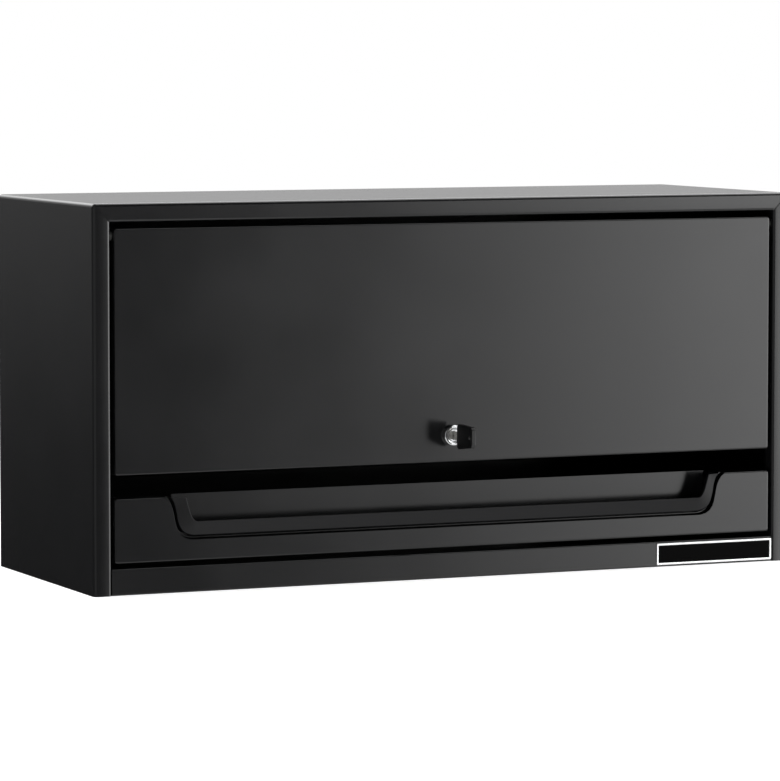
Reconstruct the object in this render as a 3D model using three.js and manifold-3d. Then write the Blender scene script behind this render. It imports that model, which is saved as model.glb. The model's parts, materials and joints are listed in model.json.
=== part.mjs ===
// A steel top tool chest with a fold-up door over one full-width drawer.
// Millimetres. X runs to the right as seen from the front, Y to the back and Z up.
// The origin is the middle of the case's underside.
import * as THREE from "three";
import { mergeVertices } from "three/addons/utils/BufferGeometryUtils.js";
import Module from "manifold-3d";

const wasm = await Module();
wasm.setup();

// Case
const CASE_WIDTH = 730;
const CASE_DEPTH = 270;
const CASE_HEIGHT = 365;
const SHEET = 1.2; // steel of the case, the shelf, the door and the drawer front
const BEND_INNER = 2; // inner radius of the case's bends
const PAN_BEND_INNER = 0.4; // the same on the door, the drawer front and the bottom rail
const CORNER_EXTRA = 0.6; // how much rounder a corner is than the bends that meet there
const FLANGE_WIDTH = 17.4; // stiles and top rail, seen from the front
const FLANGE_RETURN = 14; // how far their inner edges turn back
const OPENING_BEND = 2.5; // outer radius of the bend there
const BEND_FILL = 0.4; // thickening inside that bend
const BACK_FLANGE = 12;
const MITRE_WIDTH = 0.6;
const MITRE_DEPTH = 0.4;
const RAIL_HEIGHT = 25; // bottom rail
const RAIL_RETURN = 14;
const PAN_UPTURN = 10;
const KEYHOLE_RADIUS = 6;
const KEYHOLE_SLOT_WIDTH = 6;
const KEYHOLE_SLOT_RISE = 14;
const KEYHOLE_SIDE = 85; // from the case's side to a keyhole
const KEYHOLE_EDGE = 65; // from the case's top or underside to a keyhole

// Divider shelf and the strike at its front
const SHELF_RISE = 2.8; // from the door's bottom edge to the shelf's underside
const SHELF_SIDE_FLANGE = 11;
const BUMPER_RADIUS = 4.5;
const BUMPER_HEIGHT = 3.5;
const BUMPER_EDGE = 1;
const BUMPER_STEM_RADIUS = 1.8;
const BUMPER_STEM_LENGTH = 4;
const BUMPER_SIDE = 90; // from the opening's side edge
const BUMPER_RISE = 7.2; // above the door's bottom edge

// Door
const DOOR_SIDE_GAP = 4.1;
const DOOR_TOP_GAP = 6.1;
const FINGER_GAP = 21.9; // between the drawer front and the door
const DOOR_DEPTH = 18;
const DOOR_LIP = 12;
const STIFFENER_SIDE = 162.9; // from the door's side edge to a stiffener's middle
const STIFFENER_WIDTH = 30;
const STIFFENER_DEPTH = 9;

// Door hinge pins
const HINGE_SETBACK = 10; // from the front plane to the pins' axis
const HINGE_DROP = 6.5; // from the door's top edge to the pins' axis
const HINGE_PIN_RADIUS = 3;
const HINGE_HEAD_RADIUS = 4.5;
const HINGE_HEAD_LENGTH = 1.5;
const HINGE_TAIL_LENGTH = 3;
const SPACER_WALL = 1.4;

// Gas struts. Their door ends are given from the hinge axis, with the door closed.
const STRUT_DOOR_BACK = 22;
const STRUT_DOOR_DROP = 42;
const STRUT_CASE_BACK = 110; // behind the hinge axis
const STRUT_CASE_RISE = 70; // above the shelf's underside
const STRUT_SIDE = 26.6; // from the opening's side edge to a strut's middle plane
const STRUT_TUBE_RADIUS = 7.5;
const STRUT_BORE_RADIUS = 4.4;
const STRUT_ROD_RADIUS = 4;
const STRUT_EYE_RADIUS = 7;
const STRUT_EYE_WIDTH = 6;
const STRUT_NECK_LENGTH = 14; // from the eye's centre to the tube
const STRUT_ROD_SHOWING = 27.3; // from the tube to the rod's eye, with the door closed
const STRUT_TUBE_END = 12; // closed end of the tube
const STRUT_BORE_SPARE = 9; // left in the bore behind the rod, with the door closed
const STRUT_CHAMFER = 1;
const STRUT_PIN_RADIUS = 3;
const STRUT_PIN_HEAD_RADIUS = 4.5;
const STRUT_PIN_HEAD_LENGTH = 1.5;
const STRUT_PIN_TAIL = 2;
const BRACKET_SHEET = 2;
const CASE_BRACKET_WIDTH = 16;
const CASE_BRACKET_DROP = 17;
const CASE_BRACKET_FOOT_RISE = 15;
const CASE_BRACKET_FOOT_WIDTH = 34;
const DOOR_BRACKET_HEIGHT = 40;
const DOOR_BRACKET_FOOT = 9;
const DOOR_BRACKET_EYE = 8;

// Cam lock
const LOCK_HEIGHT = 25.8; // above the door's bottom edge
const LOCK_RING_RADIUS = 9.8;
const LOCK_RING_HEIGHT = 5;
const LOCK_RIM_WIDTH = 2.6;
const LOCK_RIM_BEVEL = 0.6;
const LOCK_CHANNEL_DEPTH = 2;
const LOCK_BARREL_RADIUS = 8.5;
const LOCK_BARREL_LENGTH = 20; // behind the door's face
const LOCK_PLUG_RADIUS = 6;
const LOCK_PLUG_SETBACK = 1.2; // plug face behind the rim
const LOCK_PLUG_BEVEL = 0.4;
const LOCK_NUT_ACROSS = 22;
const LOCK_NUT_THICKNESS = 4;
const LOCK_SHANK_WIDTH = 6.4;
const CAM_THICKNESS = 2;
const CAM_WIDTH = 14;
const CAM_REACH = 20;
const CAM_HOOK = 6; // how far the locked cam reaches behind the strike
const CAM_STRIKE_GAP = 0.6; // between the strike's back and the cam
const CAM_SCREW_RADIUS = 2;
const CAM_SCREW_HEAD_RADIUS = 4.5;
const CAM_SCREW_HEAD_LENGTH = 2.5;
const CAM_SCREW_DEPTH = 8;

// Key
const KEY_BLADE_THICKNESS = 2;
const KEY_BLADE_HEIGHT = 8;
const KEY_BLADE_INSERTION = 16; // behind the door's face
const KEY_TOOTH_DEPTH = 1.6;
const KEY_TOOTH_PITCH = 3.2;
const KEY_TEETH = 4;
const KEY_NECK = 10; // between the lock's rim and the bow
const KEY_TANG = 12; // blade inside the bow
const KEY_BOW_LENGTH = 34;
const KEY_BOW_THICKNESS = 4.3;
const KEY_BOW_NEAR_HIGH = 11.9; // above the lock's axis, at the lock's end of the bow
const KEY_BOW_NEAR_LOW = 12.6; // below it
const KEY_BOW_FAR_HIGH = 10.8; // the same at the bow's outer end
const KEY_BOW_FAR_LOW = 8.5;
const KEY_BOW_CORNER = 4;
const KEY_RING_HOLE_RADIUS = 2.2;
const KEY_RING_HOLE_SETBACK = 6;

// Drawer
const DRAWER_SIDE_GAP = 3.4;
const DRAWER_BOTTOM_GAP = 5;
const DRAWER_FRONT_HEIGHT = 60.3;
const DRAWER_FRONT_DEPTH = 20;
const DRAWER_SIDE_LIP = 20;
const DRAWER_EDGE_LIP = 10;
const TRAY_SHEET = 1;
const TRAY_BACK_GAP = 19; // from the tray to the back panel
const TRAY_HEIGHT = 49;
const TRAY_LIFT = 5.5; // above the drawer front's bottom edge
const TRAY_HEM = 4;
const LINER_THICKNESS = 2;
const LINER_MARGIN = 1.5;
const FRONT_SCREW_RADIUS = 2;
const FRONT_SCREW_LENGTH = 5; // in front of the tray
const FRONT_SCREW_HEAD_RADIUS = 4;
const FRONT_SCREW_HEAD_LENGTH = 2;
const FRONT_SCREW_INSET = 16.2; // from the drawer front's side edge
const FRONT_SCREW_LOW = 16;
const FRONT_SCREW_HIGH = 43;

// Cut-out, pull strip and finger pocket of the drawer front
const NOTCH_TOP_INSET = 48.2; // from the drawer front's side edge, at its top
const NOTCH_FLOOR_INSET = 76.1; // the same where the curve meets the cut-out's floor
const NOTCH_FLOOR = 19.5;
const POCKET_SIDE_GAP = 0.6; // between the cut-out's edge and the pocket's wall, at its ends
const POCKET_FLOOR_GAP = 1.2; // the same at the cut-out's floor
const POCKET_WALL = 1;
const POCKET_SETBACK = 5; // behind the front plane
const POCKET_RISE = 1; // back wall above the drawer front
const POCKET_BACK_INSET = 63; // from the drawer front's side edge to the back wall's
const STRIP_SIDE_GAP = 2.3; // between the cut-out's edge and the strip, at its ends
const STRIP_FLOOR_GAP = 4.1; // the same at the cut-out's floor
const STRIP_END_DROP = 0.9;
const STRIP_WIDTH = 13.6;
const STRIP_END_INSET = 4.5; // from the cut-out's end curve to the free edge's, at the floor
const STRIP_THICKNESS = 1.5;
const STRIP_PROUD = 4.6; // free edge in front of the door and drawer plane
const STRIP_SETBACK = 0.4; // foot behind that plane
const STRIP_BEAD = 0.8;
const STRIP_HOLLOW_SHARE = 0.48; // of its flare that the lip has reached half way across
const STRIP_CORNER = 11; // how far the free edge's end curve runs inward
// Shares of the span and rise of an end curve at which its two handles lie
const END_CURVE_SHARES = [[0.66, 0.76], [0.12, 0.07]];
const FREE_EDGE_SHARES = [[0.21, 0.7], [0.39, 0.04]];

// Drawer runners
const RUNNER_HEIGHT = 35;
const RUNNER_THICKNESS = 12.7;
const RUNNER_SHEET = 1.2;
const RUNNER_RACE = 3; // flange of the middle member with its balls
const RUNNER_CENTRE = 28.5; // above the drawer front's bottom edge
const RUNNER_BACK_GAP = 15.8; // from the runners to the back panel
const RUNNER_SETBACK = 1.5; // behind the drawer front
const RUNNER_STEP = 2.4; // how far each member's flanges stop short of the next web
const RUNNER_BRACKET_HEIGHT = 28;

// Plate on the bottom rail
const PLATE_WIDTH = 127;
const PLATE_MARGIN = 2; // of the rail above and below the plate
const PLATE_THICKNESS = 0.9;
const PLATE_RIM = 1.9;
const PLATE_RIM_HEIGHT = 0.4;
const PLATE_INSET = 0.3; // from the rail's end

// Clearances and overruns
const FIT = 0.3; // between pieces that are cut to each other
const BORE_FIT = 0.4; // on the radius, round a pin
const SEAM = 0.2; // how far a joined-on flange stays inside its neighbour's faces
const CUT = 5; // how far a cutting shape runs past what it cuts
const WELD = 0.001; // grid on which all corners lie

// Facets
const BEND_STEPS = 3;
const ROUND_SIDES = 16;
const LOCK_SIDES = 24;
const NUT_SIDES = 6;
const CURVE_STEPS = 10;
const HALVINGS = 30; // steps of a search along a curve

// Places worked out from the sizes above
const frontY = -CASE_DEPTH / 2;
const backY = CASE_DEPTH / 2;
const wallX = CASE_WIDTH / 2 - SHEET; // inner face of a side wall
const roofZ = CASE_HEIGHT - SHEET; // underside of the roof
const openingX = CASE_WIDTH / 2 - FLANGE_WIDTH;
const openingZ = CASE_HEIGHT - FLANGE_WIDTH;
const panelY = backY - 2 * SHEET - FIT; // front of the back panel
const bend = BEND_INNER + SHEET;
const corner = bend + CORNER_EXTRA;
const panBend = PAN_BEND_INNER + SHEET;
const panCorner = panBend + CORNER_EXTRA;
const doorHalf = openingX - DOOR_SIDE_GAP;
const drawerHalf = openingX - DRAWER_SIDE_GAP;
const drawerZ = RAIL_HEIGHT + DRAWER_BOTTOM_GAP;
const doorZ = drawerZ + DRAWER_FRONT_HEIGHT + FINGER_GAP;
const doorHeight = openingZ - DOOR_TOP_GAP - doorZ;
const hingeZ = doorHeight - HINGE_DROP; // above the door's bottom edge
const strikeY = DOOR_DEPTH + FIT + BUMPER_HEIGHT; // behind the front plane
const strikeTop = doorZ + LOCK_HEIGHT - CAM_REACH + CAM_HOOK;
const shelfZ = doorZ + SHELF_RISE;
const bumperZ = doorZ + BUMPER_RISE;
const trayHalf = openingX - RUNNER_THICKNESS - FIT;
const trayY = DRAWER_FRONT_DEPTH + FIT;
const trayLength = panelY - TRAY_BACK_GAP - (frontY + trayY);
const strutX = openingX - STRUT_SIDE;

const paint = { roughness: 0.55, metalness: 0.1 };
const materials = {
  case: new THREE.MeshStandardMaterial({ color: 0x1c1d1f, ...paint }),
  door: new THREE.MeshStandardMaterial({ color: 0x1c1d1f, ...paint }),
  strip: new THREE.MeshStandardMaterial({ color: 0x131416, ...paint }),
  zinc: new THREE.MeshStandardMaterial({ color: 0xb9bcc0, roughness: 0.35, metalness: 0.9 }),
  chrome: new THREE.MeshStandardMaterial({ color: 0xd8dadd, roughness: 0.15, metalness: 1 }),
  brass: new THREE.MeshStandardMaterial({ color: 0xb59a55, roughness: 0.35, metalness: 1 }),
  plastic: new THREE.MeshStandardMaterial({ color: 0x101112, roughness: 0.6, metalness: 0 }),
  rubber: new THREE.MeshStandardMaterial({ color: 0x151515, roughness: 0.9, metalness: 0 }),
  strut: new THREE.MeshStandardMaterial({ color: 0x0c0c0d, roughness: 0.3, metalness: 0.2 }),
};

// A closed geometry as a solid that can be joined and cut. Its corners lie on a fine grid, so that
// faces which should be in one plane are exactly in one plane.
function solid(geometry) {
  const places = Array.from(geometry.getAttribute("position").array);
  const onGrid = places.map((value) => Math.round(value / WELD) * WELD);
  const bare = new THREE.BufferGeometry();
  bare.setAttribute("position", new THREE.Float32BufferAttribute(onGrid, 3));
  bare.setIndex(geometry.getIndex());
  const merged = mergeVertices(bare, WELD / 2);
  const corners = merged.getIndex().array;
  const kept = [];
  for (let i = 0; i < corners.length; i += 3) {
    const [a, b, c] = [corners[i], corners[i + 1], corners[i + 2]];
    if (a !== b && b !== c && c !== a) kept.push(a, b, c);
  }
  return new wasm.Manifold(
    new wasm.Mesh({
      numProp: 3,
      vertProperties: new Float32Array(merged.getAttribute("position").array),
      triVerts: new Uint32Array(kept),
    }),
  );
}

// A solid as a geometry
function geometryOf(body) {
  const mesh = body.getMesh();
  const geometry = new THREE.BufferGeometry();
  geometry.setAttribute("position", new THREE.BufferAttribute(mesh.vertProperties.slice(), 3));
  geometry.setIndex(new THREE.BufferAttribute(mesh.triVerts.slice(), 1));
  geometry.computeVertexNormals();
  return geometry;
}

// Adds a solid to a group as a named mesh
function place(group, name, body, material, x = 0, y = 0, z = 0) {
  const mesh = new THREE.Mesh(geometryOf(body), material);
  mesh.name = name;
  mesh.position.set(x, y, z);
  group.add(mesh);
}

// A group at a place of its own
function groupAt(parent, x, y, z) {
  const group = new THREE.Group();
  group.position.set(x, y, z);
  parent.add(group);
  return group;
}

// A block between two opposite corners
function block([x0, y0, z0], [x1, y1, z1]) {
  const geometry = new THREE.BoxGeometry(Math.abs(x1 - x0), Math.abs(y1 - y0), Math.abs(z1 - z0));
  geometry.translate((x0 + x1) / 2, (y0 + y1) / 2, (z0 + z1) / 2);
  return solid(geometry);
}

function shapeOf(outline) {
  if (outline instanceof THREE.Shape) return outline;
  return new THREE.Shape(outline.map(([u, v]) => new THREE.Vector2(u, v)));
}

function extruded(outline, depth, options = {}) {
  return new THREE.ExtrudeGeometry(shapeOf(outline), {
    depth,
    bevelEnabled: false,
    curveSegments: BEND_STEPS,
    ...options,
  });
}

// A plate with its outline in X and Z, from y0 back to y1
function plateXZ(outline, y0, y1, options) {
  const geometry = extruded(outline, y1 - y0, options);
  geometry.rotateX(Math.PI / 2);
  geometry.translate(0, y1, 0);
  return solid(geometry);
}

// A plate with its outline in Y and Z, between two places on X
function plateYZ(outline, xa, xb, options) {
  const geometry = extruded(outline, Math.abs(xb - xa), options);
  const toY = new THREE.Vector3(0, 1, 0);
  const toZ = new THREE.Vector3(0, 0, 1);
  const toX = new THREE.Vector3(1, 0, 0);
  geometry.applyMatrix4(new THREE.Matrix4().makeBasis(toY, toZ, toX));
  geometry.translate(Math.min(xa, xb), 0, 0);
  return solid(geometry);
}

// A round bar along X
function barX(radius, xa, xb, y, z, sides = ROUND_SIDES) {
  const geometry = new THREE.CylinderGeometry(radius, radius, Math.abs(xb - xa), sides);
  geometry.rotateZ(Math.PI / 2);
  geometry.translate((xa + xb) / 2, y, z);
  return solid(geometry);
}

// A round bar along Y
function barY(radius, y0, y1, x, z, sides = ROUND_SIDES) {
  const geometry = new THREE.CylinderGeometry(radius, radius, y1 - y0, sides);
  geometry.translate(x, (y0 + y1) / 2, z);
  return solid(geometry);
}

// A turned piece about the Y axis, from points of radius and y that run back on the outside
function turned(profile, sides = ROUND_SIDES) {
  return solid(new THREE.LatheGeometry(profile.map(([r, y]) => new THREE.Vector2(r, y)), sides));
}

// A rectangle in X and Z with its upper corners rounded, and its lower ones too if asked
function roundedOutline(half, low, high, radius, roundLow) {
  const shape = new THREE.Shape();
  if (roundLow) {
    shape.absarc(-half + radius, low + radius, radius, Math.PI, 1.5 * Math.PI, false);
    shape.absarc(half - radius, low + radius, radius, 1.5 * Math.PI, 2 * Math.PI, false);
  } else {
    shape.moveTo(-half, low);
    shape.lineTo(half, low);
  }
  shape.absarc(half - radius, high - radius, radius, 0, Math.PI / 2, false);
  shape.absarc(-half + radius, high - radius, radius, Math.PI / 2, Math.PI, false);
  shape.closePath();
  return shape;
}

// A block whose front and back edges are rounded like a bend
function softBlock(outline, y0, y1, radius) {
  const bevel = {
    bevelEnabled: true,
    bevelThickness: radius,
    bevelSize: radius,
    bevelOffset: -radius,
    bevelSegments: BEND_STEPS,
  };
  return plateXZ(outline, y0 + radius, y1 - radius, bevel);
}

// A pressed sheet pan with its face at y 0, its bottom edge at z 0 and lips turned in at the back
function pressedPan(half, height, depth, sideLip, edgeLip) {
  const outline = roundedOutline(half, 0, height, panCorner, true);
  const outer = softBlock(outline, 0, depth + 2 * panBend, panBend);
  const behind = block(
    [-half - CUT, depth, -CUT],
    [half + CUT, depth + CUT + 2 * panBend, height + CUT],
  );
  const hollow = block([-half + SHEET, SHEET, SHEET], [half - SHEET, depth - SHEET, height - SHEET]);
  const mouth = block(
    [-half + sideLip, depth / 2, edgeLip],
    [half - sideLip, depth + CUT, height - edgeLip],
  );
  return outer.subtract(behind).subtract(hollow).subtract(mouth);
}

// A U channel along Y for one side. Its web lies at xWeb and its flanges reach to xEdge.
function channel(xWeb, xEdge, wall, flange, halfHeight, y0, y1) {
  const toward = Math.sign(xEdge - xWeb);
  const outline = [
    [xWeb, -halfHeight],
    [xEdge, -halfHeight],
    [xEdge, -halfHeight + flange],
    [xWeb + toward * wall, -halfHeight + flange],
    [xWeb + toward * wall, halfHeight - flange],
    [xEdge, halfHeight - flange],
    [xEdge, halfHeight],
    [xWeb, halfHeight],
  ];
  return plateXZ(outline, y0, y1);
}

// The roof and both sides with their stiles, top rail and back flanges, folded from one sheet
function outerShell() {
  const top = roundedOutline(CASE_WIDTH / 2, -bend - CUT, CASE_HEIGHT, corner, false);
  const room = roundedOutline(wallX, -2 * CUT - bend, roofZ, corner - SHEET, false);
  const returnEnd = frontY + FLANGE_RETURN;
  const returnX = openingX + SHEET;
  const filled = SHEET + BEND_FILL;
  let shell = softBlock(top, frontY, backY, bend)
    .subtract(softBlock(room, frontY + SHEET, backY - SHEET, BEND_INNER))
    .subtract(
      block(
        [-wallX + BACK_FLANGE, backY - SHEET - CUT, -3 * CUT],
        [wallX - BACK_FLANGE, backY + CUT, roofZ - BACK_FLANGE],
      ),
    )
    .add(block([-returnX, frontY + SHEET / 2, -CUT], [returnX, returnEnd, openingZ + SHEET]))
    .add(
      block(
        [-openingX - filled, frontY + SHEET / 2, -CUT],
        [openingX + filled, frontY + filled, openingZ + filled],
      ),
    )
    .subtract(block([-openingX, frontY - CUT, -3 * CUT], [openingX, returnEnd + CUT, openingZ]))
    .subtract(block([-CASE_WIDTH, frontY - CUT, -CASE_WIDTH], [CASE_WIDTH, backY + CUT, 0]));
  for (let step = 0; step < BEND_STEPS; step += 1) shell = shell.subtract(openingFlare(step));
  for (const side of [-1, 1]) {
    const pinZ = doorZ + hingeZ;
    const pinY = frontY + HINGE_SETBACK;
    const hole = HINGE_PIN_RADIUS + BORE_FIT;
    shell = shell
      .subtract(barX(hole, side * (openingX - CUT), side * (openingX + CUT), pinY, pinZ))
      .subtract(mitreLine(side));
  }
  return shell;
}

// One of the flared cuts that together round the front edge of the opening
function openingFlare(step) {
  const [outer, inner] = [step, step + 1].map((k) => {
    const angle = (k * Math.PI) / 2 / BEND_STEPS;
    return [OPENING_BEND * (1 - Math.sin(angle)), OPENING_BEND * (1 - Math.cos(angle))];
  });
  const half = openingX + inner[0];
  const outline = [
    [-half, -2 * CUT],
    [half, -2 * CUT],
    [half, openingZ + inner[0]],
    [-half, openingZ + inner[0]],
  ];
  return plateXZ(outline, frontY - CUT, frontY + outer[1], {
    bevelEnabled: true,
    bevelThickness: inner[1] - outer[1],
    bevelSize: outer[0] - inner[0],
    bevelOffset: 0,
    bevelSegments: 1,
  });
}

// The fine line where a stile meets the top rail
function mitreLine(side) {
  const length = FLANGE_WIDTH * Math.SQRT2;
  const geometry = new THREE.BoxGeometry(length, 2 * MITRE_DEPTH, MITRE_WIDTH);
  geometry.rotateY(-side * Math.PI / 4);
  geometry.translate(
    side * (CASE_WIDTH / 2 - FLANGE_WIDTH / 2),
    frontY,
    CASE_HEIGHT - FLANGE_WIDTH / 2,
  );
  return solid(geometry);
}

// The floor with the bottom rail folded up at its front
function floorPan() {
  const railHalf = openingX - FIT;
  const stepY = frontY + FLANGE_RETURN + FIT;
  const endY = backY - SHEET - FIT;
  const section = new THREE.Shape();
  section.moveTo(frontY + RAIL_RETURN, RAIL_HEIGHT);
  const bendY = frontY + panBend;
  section.lineTo(bendY, RAIL_HEIGHT);
  section.absarc(bendY, RAIL_HEIGHT - panBend, panBend, Math.PI / 2, Math.PI, false);
  section.absarc(bendY, panBend, panBend, Math.PI, 1.5 * Math.PI, false);
  section.lineTo(endY, 0);
  section.lineTo(endY, SHEET);
  section.lineTo(frontY + SHEET, SHEET);
  section.lineTo(frontY + SHEET, RAIL_HEIGHT - SHEET);
  section.lineTo(frontY + RAIL_RETURN, RAIL_HEIGHT - SHEET);
  section.closePath();
  let pan = plateYZ(section, -railHalf, railHalf);
  const sideEnd = panelY - FIT;
  for (const side of [-1, 1]) {
    pan = pan
      .add(block([side * (railHalf - CUT), stepY, 0], [side * (wallX - FIT), sideEnd, SHEET]))
      .add(
        block(
          [side * (wallX - FIT - SHEET), stepY + SEAM, SHEET / 2],
          [side * (wallX - FIT - SEAM), sideEnd - SEAM, PAN_UPTURN],
        ),
      );
  }
  return pan;
}

// The back panel with four keyholes to hang it on
function backPanel() {
  const half = wallX - BEND_INNER;
  const outline = roundedOutline(half, SHEET + FIT, roofZ - BEND_INNER, corner - SHEET, false);
  let panel = plateXZ(outline, panelY, panelY + SHEET);
  for (const side of [-1, 1]) {
    const x = side * (CASE_WIDTH / 2 - KEYHOLE_SIDE);
    for (const z of [KEYHOLE_EDGE, CASE_HEIGHT - KEYHOLE_EDGE]) {
      panel = panel
        .subtract(barY(KEYHOLE_RADIUS, panelY - CUT, backY + CUT, x, z))
        .subtract(
          block(
            [x - KEYHOLE_SLOT_WIDTH / 2, panelY - CUT, z],
            [x + KEYHOLE_SLOT_WIDTH / 2, backY + CUT, z + KEYHOLE_SLOT_RISE],
          ),
        );
    }
  }
  return panel;
}

// The floor of the upper compartment with the strike at its front edge
function dividerShelf() {
  const half = wallX - FIT;
  const y = frontY + strikeY;
  const endY = panelY - FIT;
  const section = [
    [y, shelfZ],
    [endY, shelfZ],
    [endY, shelfZ + SHEET],
    [y + SHEET, shelfZ + SHEET],
    [y + SHEET, strikeTop],
    [y, strikeTop],
  ];
  let shelf = plateYZ(section, -half, half);
  for (const side of [-1, 1]) {
    shelf = shelf
      .add(
        block(
          [side * (half - SEAM - SHEET), y + SHEET / 2, shelfZ - SHELF_SIDE_FLANGE],
          [side * (half - SEAM), endY - SEAM, shelfZ + SHEET / 2],
        ),
      )
      .subtract(
        barY(BUMPER_STEM_RADIUS + BORE_FIT, y - CUT, y + CUT, side * (openingX - BUMPER_SIDE), bumperZ),
      );
  }
  return shelf;
}

// A rubber bumper whose stem sits in the strike
function doorBumper() {
  return turned([
    [0, -BUMPER_HEIGHT],
    [BUMPER_RADIUS - BUMPER_EDGE, -BUMPER_HEIGHT],
    [BUMPER_RADIUS, -BUMPER_HEIGHT + BUMPER_EDGE],
    [BUMPER_RADIUS, -FIT],
    [BUMPER_STEM_RADIUS, -FIT],
    [BUMPER_STEM_RADIUS, BUMPER_STEM_LENGTH],
    [0, BUMPER_STEM_LENGTH],
  ]);
}

// A plain plate with a thin raised rim
function railPlate() {
  const height = RAIL_HEIGHT - 2 * PLATE_MARGIN;
  const plate = block([0, -PLATE_THICKNESS, 0], [PLATE_WIDTH, -FIT, height]);
  return plate.subtract(
    block(
      [PLATE_RIM, -PLATE_THICKNESS - CUT, PLATE_RIM],
      [PLATE_WIDTH - PLATE_RIM, -PLATE_THICKNESS + PLATE_RIM_HEIGHT, height - PLATE_RIM],
    ),
  );
}

// Case, shelf and what is fixed to them
function buildCase(chest) {
  place(chest, "outer_shell", outerShell(), materials.case);
  place(chest, "floor_pan", floorPan(), materials.case);
  place(chest, "back_panel", backPanel(), materials.case);
  place(chest, "divider_shelf", dividerShelf(), materials.case);
  for (const [side, word] of [[-1, "left"], [1, "right"]]) {
    const x = side * (openingX - BUMPER_SIDE);
    place(chest, "door_bumper_" + word, doorBumper(), materials.rubber, x, frontY + strikeY, bumperZ);
  }
  const plateX = openingX - FIT - PLATE_INSET - PLATE_WIDTH;
  place(chest, "rail_plate", railPlate(), materials.zinc, plateX, frontY, PLATE_MARGIN);
}

// Door pan with its stiffeners
function doorSkin() {
  let skin = pressedPan(doorHalf, doorHeight, DOOR_DEPTH, DOOR_LIP, DOOR_LIP).subtract(
    barY(LOCK_BARREL_RADIUS + BORE_FIT, -CUT, CUT, 0, LOCK_HEIGHT, LOCK_SIDES),
  );
  for (const side of [-1, 1]) {
    const hole = HINGE_PIN_RADIUS + BORE_FIT;
    skin = skin.subtract(
      barX(hole, side * (doorHalf - CUT), side * (doorHalf + CUT), HINGE_SETBACK, hingeZ),
    );
  }
  return skin;
}

function doorStiffener() {
  const half = STIFFENER_WIDTH / 2;
  const low = SHEET + FIT;
  const high = doorHeight - SHEET - FIT;
  return block([-half, SHEET + FIT, low], [half, SHEET + STIFFENER_DEPTH, high]).subtract(
    block([-half + SHEET, 0, low - CUT], [half - SHEET, STIFFENER_DEPTH, high + CUT]),
  );
}

// The hinge pins and spacers stay with the case. They lie on the door's hinge axis.
function buildHinges(chest) {
  const hinges = groupAt(chest, 0, frontY + HINGE_SETBACK, doorZ + hingeZ);
  for (const [side, word] of [[-1, "left"], [1, "right"]]) {
    const inner = doorHalf - SHEET - FIT;
    const pin = barX(HINGE_HEAD_RADIUS, side * (inner - HINGE_HEAD_LENGTH), side * inner, 0, 0).add(
      barX(HINGE_PIN_RADIUS, side * inner, side * (openingX + SHEET + HINGE_TAIL_LENGTH), 0, 0),
    );
    const bore = HINGE_PIN_RADIUS + BORE_FIT;
    const from = side * (doorHalf + FIT);
    const to = side * (openingX - FIT);
    const spacer = barX(bore + SPACER_WALL, from, to, 0, 0).subtract(
      barX(bore, from - side * CUT, to + side * CUT, 0, 0),
    );
    place(hinges, "hinge_pin_" + word, pin, materials.zinc);
    place(hinges, "hinge_spacer_" + word, spacer, materials.plastic);
  }
}

// Housing of the cam lock: a bright rim in front of the door and a barrel through it
function lockBarrel() {
  const bore = LOCK_PLUG_RADIUS + BORE_FIT;
  const rimInner = LOCK_RING_RADIUS - LOCK_RIM_WIDTH;
  const channelY = -LOCK_RING_HEIGHT + LOCK_CHANNEL_DEPTH;
  return turned(
    [
      [bore, LOCK_BARREL_LENGTH],
      [bore, channelY],
      [rimInner, channelY],
      [rimInner, -LOCK_RING_HEIGHT + LOCK_RIM_BEVEL],
      [rimInner + LOCK_RIM_BEVEL, -LOCK_RING_HEIGHT],
      [LOCK_RING_RADIUS - LOCK_RIM_BEVEL, -LOCK_RING_HEIGHT],
      [LOCK_RING_RADIUS, -LOCK_RING_HEIGHT + LOCK_RIM_BEVEL],
      [LOCK_RING_RADIUS, -FIT],
      [LOCK_BARREL_RADIUS, -FIT],
      [LOCK_BARREL_RADIUS, LOCK_BARREL_LENGTH],
      [bore, LOCK_BARREL_LENGTH],
    ],
    LOCK_SIDES,
  );
}

const camY = strikeY + SHEET + CAM_STRIKE_GAP;

function lockPlug() {
  const face = -LOCK_RING_HEIGHT + LOCK_PLUG_SETBACK;
  const half = LOCK_SHANK_WIDTH / 2;
  const end = camY + CAM_THICKNESS;
  const slotHalf = KEY_BLADE_THICKNESS / 2 + FIT;
  const slotHeight = KEY_BLADE_HEIGHT / 2 + FIT;
  return turned(
    [
      [0, face],
      [LOCK_PLUG_RADIUS - LOCK_PLUG_BEVEL, face],
      [LOCK_PLUG_RADIUS, face + LOCK_PLUG_BEVEL],
      [LOCK_PLUG_RADIUS, camY - FIT],
      [0, camY - FIT],
    ],
    LOCK_SIDES,
  )
    .add(block([-half, LOCK_BARREL_LENGTH, -half], [half, end, half]))
    .subtract(barY(CAM_SCREW_RADIUS + BORE_FIT, end - CAM_SCREW_DEPTH, end + CUT, 0, 0))
    .subtract(
      block([-slotHalf, face - CUT, -slotHeight], [slotHalf, KEY_BLADE_INSERTION + FIT, slotHeight]),
    );
}

// The cam points sideways when the lock is open
function lockCam() {
  const half = CAM_WIDTH / 2;
  const hole = LOCK_SHANK_WIDTH / 2 + FIT;
  const outline = new THREE.Shape();
  outline.absarc(0, 0, half, Math.PI / 2, 1.5 * Math.PI, false);
  outline.lineTo(CAM_REACH, -half);
  outline.lineTo(CAM_REACH, half);
  outline.closePath();
  return plateXZ(outline, camY, camY + CAM_THICKNESS).subtract(
    block([-hole, camY - CUT, -hole], [hole, camY + CUT, hole]),
  );
}

function camScrew() {
  const y = camY + CAM_THICKNESS + FIT;
  return barY(CAM_SCREW_HEAD_RADIUS, y, y + CAM_SCREW_HEAD_LENGTH, 0, 0).add(
    barY(CAM_SCREW_RADIUS, y - CAM_SCREW_DEPTH + FIT, y, 0, 0),
  );
}

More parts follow.
